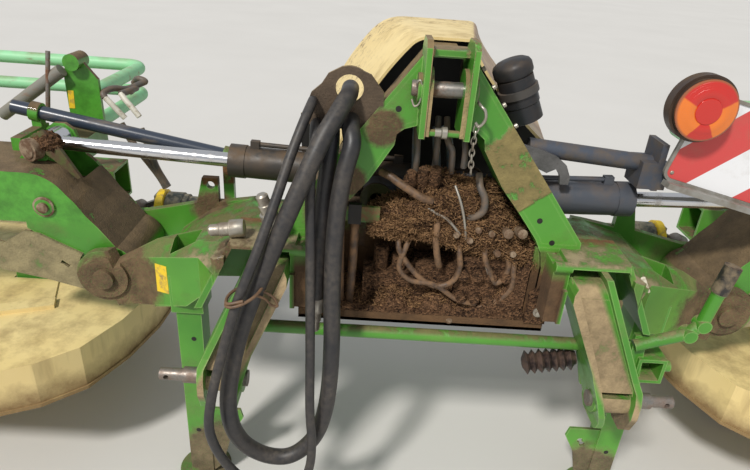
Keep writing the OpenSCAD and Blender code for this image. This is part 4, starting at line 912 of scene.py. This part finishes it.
def stalks(name, foot, seed, length=(0.008, 0.032), thick=(0.0005, 0.0011)):
    """Short bent stalks: each a thin three-sided tube of four rings, at a random heading and tilt."""
    draw = np.random.default_rng(seed)
    count = len(foot)
    heading = draw.uniform(0, 2 * np.pi, count)
    tilt = draw.normal(0, 0.5, count)
    long = draw.uniform(*length, count)
    radius = draw.uniform(*thick, count)
    t = np.linspace(-0.5, 0.5, 4)[None, :, None]
    way = np.stack((np.cos(heading) * np.cos(tilt), np.sin(heading) * np.cos(tilt), np.sin(tilt)), -1)
    _, first, second = square_to(way)
    bend = draw.normal(0, 0.16, (count, 1, 1)) * long[:, None, None]
    line = foot[:, None] + way[:, None] * t * long[:, None, None] + first[:, None] * bend * (0.25 - t ** 2) * 4
    angle = np.arange(3) * 2 * np.pi / 3
    ring = np.cos(angle)[:, None] * first[:, None] + np.sin(angle)[:, None] * second[:, None]
    skin(name, line[:, :, None] + radius[:, None, None, None] * ring[:, None], STRAW, flat=True)


def lip_height(x, y):
    """A ragged ridge of chaff along the top of the tray's lip, higher in both corners."""
    corners = 0.02 * np.exp(-((np.abs(x) - 0.22) / 0.03) ** 2)
    return np.clip(0.006 + 0.004 * lumps(x, y, 9, 0.05) + corners, 0.001, 0.03)


heap("chaff_lip", (-0.235, 0.235), (0.1052, 0.124), 0.6163, lip_height, (150, 12))
heap("chaff_bank", BANK_X, BANK_Y, TRAY_TOP, bank_height)
mound_rows = mound()
skin("chaff_mound", mound_rows, DRY_GRASS)
draw = np.random.default_rng(11)
on_bank = draw.uniform((BANK_X[0] + 0.02, BANK_Y[0] + 0.01), (BANK_X[1] - 0.02, BANK_Y[1] - 0.01), (BANK_STALKS, 2))
on_bank = np.column_stack((on_bank[:, 0], on_bank[:, 1] - Y_MID, TRAY_TOP + bank_height(*on_bank.T) + 0.001))
on_mound = mound_rows[draw.integers(4, 186, MOUND_STALKS), draw.integers(18, 84, MOUND_STALKS)]
on_mound = on_mound + draw.normal(0, 0.0015, (MOUND_STALKS, 3))
stalks("chaff_stalks", np.concatenate((on_bank, on_mound)), 11)


# Valve bay: pipes, thin hoses and bolts that stick out of the chaff.
# Each is a round section carried along a few measured points, its ends sunk in what carries it.
BROWN_HOSE = filmed("brown_hose", (74, 58, 46), (128, 98, 70), 0.9)
GREY_HOSE = filmed("grey_hose", (84, 80, 76), (120, 98, 76), 0.6)
TAN_BOLT = filmed("tan_bolt", (146, 128, 106), (96, 72, 52))


def lines(name, routes, material, body="headstock"):
    """Several round lines as one piece; each route is its radius in millimetres and its points."""
    shells = []
    for radius, points in routes:
        path = smooth_path(place(points), 24)
        shells.append(tube(path[np.linspace(0, len(path) - 1, 49).round().astype(int)], radius / 1000, 16))
    return skin(name, shells, material, body)


lines("bay_hoses", (
    (7.5, ((14, 136, 845), (14, 122, 832), (15, 117, 800), (24, 119, 755), (30, 128, 735))),
    (6.5, ((70, 136, 800), (70, 121, 776), (75, 116, 741), (62, 116, 703), (24, 118, 688), (-18, 120, 712),
           (-61, 124, 767), (-66, 140, 800))),
    (6.5, ((129, 136, 792), (129, 121, 767), (144, 117, 733), (160, 118, 706), (178, 119, 718), (185, 121, 749),
           (176, 126, 779), (174, 142, 800))),
    (7, ((196, 136, 775), (197, 120, 740), (198, 117, 696), (175, 119, 660), (143, 124, 636), (118, 138, 628))),
    (6, ((-40, 138, 800), (-52, 122, 770), (-60, 118, 730), (-32, 116, 700), (23, 116, 692), (79, 118, 655),
         (125, 126, 640))),
    (9, ((-115, 176, 934), (-95, 160, 930), (-73, 150, 919), (-45, 140, 905), (-25, 133, 896), (-2, 140, 886)))),
    BROWN_HOSE)
lines("bay_grey_hoses", (
    (7, ((-46, 236, 1040), (-41, 205, 997), (-39, 200, 965), (-38, 202, 930))),
    (7, ((3, 240, 1045), (3, 205, 1003), (3, 200, 970), (4, 204, 930))),
    (7, ((22, 240, 1045), (25, 205, 1005), (37, 200, 982), (41, 204, 930))),
    (7, ((60, 240, 1045), (63, 205, 1004), (66, 200, 980), (67, 204, 945))),
    (8, ((97, 168, 945), (98, 144, 926), (110, 136, 903), (111, 134, 875), (94, 136, 857), (80, 146, 850)))),
    GREY_HOSE)
lines("bay_rods", (
    (3.2, ((-9, 133, 873), (12, 130, 862), (33, 127, 853), (52, 122, 836), (66, 118, 820))),
    (3, ((44, 140, 926), (56, 125, 900), (65, 119, 874), (73, 117, 843), (79, 116, 812))),
    (3.2, ((126, 124, 770), (132, 117, 752), (139, 116, 735), (147, 121, 715)))), BRIGHT_STEEL)
BOLT = ((7.2, -30), (7.2, 2), (6, 3.5), (2, 4))
bolts = place([(103, 112, 837), (88, 113, 810), (133, 112, 830), (153, 112, 783), (187, 112, 784), (57, 114, 822)])
skin("bay_bolts", turned(BOLT, bolts, (0, -0.97, 0.22), 24), TAN_BOLT)
skin("bay_big_bolts", turned([(1.5 * r, h) for r, h in BOLT], place([(199, 112, 835), (169, 114, 832)]),
                             (0.1, -0.97, 0.22), 24), TAN_BOLT)
CAP = ((15, -30), (15, 4), (12, 10), (11, 22), (4, 23))
caps = place([(-50, 170, 922), (-24, 172, 930), (2, 170, 934)])
skin("valve_caps", turned(CAP, caps, (0, -0.45, 0.9), 28), DRY_GRASS)
HEAD = ((12.5, 0), (12.5, 3.5), (7.5, 3.6), (7.5, 10), (4, 11))
CORNER = ((238, 613), (286, 613), (286, 792), (276, 800), (268, 745), (256, 706), (240, 690))
fused("chaff_corner", [slab(CORNER, 100, 114)], DRY_GRASS)
skin("jamb_bolt", turned(HEAD, place((266, 100, 646)), (0, -1, 0), 36), BRIGHT_STEEL)
skin("lip_bolts", turned([(0.6 * r, 0.6 * h) for r, h in HEAD], place((66, 104.8, 604)), (0, -1, 0), 24), TAN_BOLT)


# Upper link clevis: the hook and chain of the linch pin, its spring ring and the small rod end.
def link_chain(name, points, wire=0.0016, long=0.009, wide=0.005, pitch=0.013):
    """Chain: oval rings along the points, each turned a quarter against the one before."""
    path = smooth_path(place(points), 20)
    run = np.concatenate(((0,), np.linalg.norm(np.diff(path, axis=0), axis=1).cumsum()))
    spots = np.arange(0.004, run[-1], pitch)
    centre = np.stack([np.interp(spots, run, path[:, i]) for i in range(3)], 1)
    along, first, second = square_to(np.gradient(centre, axis=0))
    across = np.where((np.arange(len(spots)) % 2)[:, None] > 0, first, second)
    t = np.linspace(0, 2 * np.pi, 20)[None, :, None]
    loops = centre[:, None] + long * np.cos(t) * along[:, None] + wide * np.sin(t) * across[:, None]
    skin(name, [tube(loop, wire, 8) for loop in loops], BRIGHT_STEEL)


lines("link_hook", (
    (3.2, ((60, 118, 1116), (62, 104, 1113), (67, 92, 1109), (74, 88, 1102), (76, 88, 1085), (66, 90, 1071),
           (58, 92, 1078))),
    (2.2, ((-58, 112, 1128), (-60, 103, 1145), (-54, 100, 1149), (-50, 100, 1131), (-53, 100, 1107), (-62, 101, 1100),
           (-68, 106, 1112)))), BRIGHT_STEEL)
link_chain("pin_chain", ((62, 92, 1070), (61, 96, 1039), (62, 100, 1007), (66, 103, 970)))
ROD_END = ((9, -12), (9, 0), (12, 2), (12, 12), (5, 13))
skin("clevis_rod_end", turned(ROD_END, place((-6, 93, 1053)), (1, 0, 0), 28), BRIGHT_STEEL)
EDGE_BOLT = ((5, -4), (5, 2), (3.5, 3))
edge_at = ((68, 132, 1174), (94, 134, 1140), (120, 136, 1106), (150, 135, 1066))
skin("leg_bolts", turned(EDGE_BOLT, place(edge_at), (0.8, 0, 0.6), 20), BRIGHT_STEEL)
HOLE_SHADE = filmed("hole_shade", (20, 20, 20), (50, 40, 30), 0.3)
HOLE = ((6.2, 0), (6.2, 0.4), (3, 0.5))
hole_points = np.array(((230, 105, 869), (264, 105, 821), (-90, 105, 1085)), float)
skin("leg_holes", turned(HOLE, place(leaned((hole_points, ()))[0]), (0, -0.99, 0.12), 24), HOLE_SHADE)


# Hose tie and parked couplers: a rusty wire round the hoses, and two couplers on the left beam's ledge.
# Each wire is one line through measured points.
lines("hose_tie", (
    (3.2, ((-404, -60, 738), (-398, -84, 735), (-372, -86, 742), (-346, -66, 752), (-338, -36, 757), (-352, -14, 752),
           (-380, -20, 744), (-402, -44, 738), (-398, -82, 741), (-366, -84, 750))),
    (2.6, ((-346, -62, 751), (-330, -50, 735), (-322, -34, 712), (-310, -28, 706), (-318, -30, 728),
           (-338, -40, 748)))),
    filmed("wire_tie", (92, 70, 52), (128, 98, 70), 0.6))
skin("parked_couplers", np.concatenate((
    turned(COUPLER, place((-331, 58, 846)), (-0.3, -0.1, 0.95), 32),
    turned(COUPLER, place((-392, 66, 832)), (-0.95, -0.06, -0.12), 32))), BRIGHT_STEEL)


# Small parts of the wings and beams: the booms' washers, the stands' holes, blank yellow labels,
# the pin end and the muddy plate at the left ram's eye, and the grip on the right latch handle.
def plain_colour(name, colour):
    """One colour under a thin uneven film of dust."""
    return filmed(name, colour, (140, 118, 86), 1.0, (45, 5, 0.7), (0.5, 0.72), 0.5, (200, 3), 0.15, 0.0004)


YELLOW = plain_colour("label_yellow", (232, 196, 44))
WASHER = ((25, 0), (25, 4), (23.5, 5), (13, 5.2), (13, 12), (11, 13.5), (4, 13.6))
for sign, side in SIDES:
    skin(f"boom_washer_{side}", turned(WASHER, place((sign * 893, 221.6, 776)), (0, -1, 0), 40), TAN_BOLT,
         body=f"wing_{side}")
    holes = place([(sign * 545, 145.9, 477), (sign * 554, 145.9, 175)])
    skin(f"stand_holes_{side}", turned(HOLE, holes, (0, -1, 0), 24), HOLE_SHADE, f"foot_{side}")
label = np.array([(-0.0185, -0.038), (0.0185, -0.034), (0.018, 0.040), (-0.017, 0.038)])
label_across, label_out = np.array((0.896, -0.443, 0)), np.array((-0.443, -0.896, 0))
label_rows = np.stack([place((-608.5, 150, 641)) + label[:, :1] * label_across + label[:, 1:] * (0, 0, 1)
                       + depth * label_out for depth in (-0.001, 0.0012)])
skin("beam_label", label_rows, YELLOW, flat=True)
fused("bracket_label", [slab([(-991, 905), (-975, 905), (-972, 955), (-988, 955)], 599, 601)], YELLOW,
      "wing_left")
skin("eye_pin_end", turned(((27, -20), (27, 4), (20, 4), (19, 7), (4, 9)),
                           place((-938, 282, 891)), (-0.4, -0.92, 0), 40), TAN_BOLT, body="wing_left")
LOCK_PLATE = ((-935, 922), (-905, 938), (-880, 914), (-832, 826), (-840, 822), (-890, 868), (-925, 898))
fused("lock_plate", [slab(LOCK_PLATE, 290, 300)], filmed("muddy_plate", (84, 92, 48), (86, 64, 46)),
      "wing_left")
lines("handle_grip", ((18.2, ((624, 50, 756), (629, 50, 788), (634, 50, 820))),),
      filmed("grip_rubber", (44, 42, 40), (150, 132, 104), 0.55))
lines("beam_stud", ((5, ((474, 88, 758), (484, 88, 742), (494, 88, 724))),),
      plain_colour("cream_stud", (226, 220, 200)))


# Bar, risers and bellows of the bay: a muddy green bar with a strap, two brown pipes below it, and the
# ribbed rubber bellows beside the right bracket.
fused("bay_bar", [block(-215, -112, 130, 140, 831, 867)], filmed("bay_bar_dirt", (66, 110, 44), (116, 88, 60)))
fused("bay_bar_strap", [block(-180, -152, 128, 142, 826, 872)], HOLE_SHADE)
lines("bay_risers", (
    (11, ((-198, 150, 832), (-198, 150, 796), (-196, 150, 708), (-192, 150, 605))),
    (10, ((-165, 150, 832), (-165, 150, 779), (-166, 150, 700), (-170, 150, 605)))), BROWN_HOSE)
ribs = [(18 + 11 * (k % 2), 6 + 8.5 * k) for k in range(14)]
skin("bracket_bellows", turned([(16, 0), *ribs, (12, 126)], place((378, 100, 524)), (-0.98, 0, -0.2), 40),
     filmed("bellows_rubber", (40, 34, 34), (96, 74, 62), 0.7))


# Drive shafts behind the tower: a dark guard round each inner shaft, with a yellow ring at its joint.
# Ring and guard are turned round the shaft's axis, from the joint inwards.
SHAFT_RING = ((50, -26), (56.5, -22), (56.5, -2), (50, 0))
SHAFT_GUARD = ((46, 0), (50, 4), (50, 50), (46, 53), (46, 66), (40, 70), (36, 300))
for sign, side in SIDES:
    ring_end = place((sign * 742, 600, 615))
    skin(f"shaft_ring_{side}", turned(SHAFT_RING, ring_end, (-sign, 0, 0), 40), YELLOW)
    skin(f"shaft_guard_{side}", turned(SHAFT_GUARD, ring_end, (-sign, 0, 0), 40),
         filmed(f"shaft_guard_{side}", (38, 44, 40), (130, 122, 104), 0.8))


# Hoses behind the left boom: a pair from the guard tube with pale fittings, and a pair that bends over
# the fold. With them stand the guard's rod, the rear ends of the valves' hoses under the cover and the
# dried mud on the left rod's eye.
lines("wing_hoses", (
    (9, ((-868, 765, 948), (-846, 745, 966), (-822, 735, 962), (-830, 715, 958), (-856, 680, 950), (-880, 640, 958),
         (-894, 610, 952), (-888, 602, 940))),
    (9, ((-872, 740, 926), (-850, 722, 942), (-838, 700, 948), (-840, 660, 950), (-850, 620, 950)))),
    GREY_HOSE, "wing_left")
fold_hoses = lines("fold_hoses", (
    (10, ((-852, 600, 870), (-825, 600, 814), (-783, 600, 753), (-757, 600, 712), (-742, 600, 680))),
    (10, ((-797, 600, 858), (-786, 600, 826), (-778, 600, 796), (-764, 600, 742), (-736, 600, 684)))),
    GREY_HOSE, None)
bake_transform(fold_hoses)
lines("wing_fittings", (
    (8, ((-888, 602, 941), (-872, 600, 925), (-858, 600, 908), (-838, 600, 886))),
    (8, ((-851, 622, 950), (-836, 612, 935), (-818, 606, 917), (-797, 600, 893)))),
    plain_colour("cream_fitting", (206, 202, 188)), "wing_left")
lines("guard_rod", ((6, ((-1013, 580, 1062), (-1022, 570, 985), (-1032, 562, 905))),),
      worn_steel("rusty_steel", 1.0, 0.5), "wing_left")
lines("bay_back_hoses", (
    (10, ((-36, 300, 1000), (-34, 300, 965), (-29, 300, 880))),
    (9, ((9, 300, 1005), (13, 300, 965), (23, 300, 890))),
    (9, ((20, 300, 1005), (41, 300, 975), (56, 300, 890)))), plain_colour("blue_grey_hose", (104, 116, 122)))


def eye_mud():
    """A lump of dried mud over the rod's eye: a ball pressed flat, its radius waved by the same lumps."""
    turn, tilt = np.meshgrid(np.linspace(0, 2 * np.pi, 72, endpoint=False), np.linspace(0.02, np.pi - 0.02, 40))
    way = np.stack((np.cos(turn) * np.sin(tilt), np.sin(turn) * np.sin(tilt), np.cos(tilt)), -1)
    swell = 1 + 0.16 * lumps(way[..., 0] * 0.1, way[..., 2] * 0.1 + way[..., 1] * 0.07, 9, 0.06)
    return place((-903, 302, 906)) + way * swell[..., None] * (0.036, 0.020, 0.026)


skin("eye_mud", eye_mud(), DRY_GRASS, "wing_left")
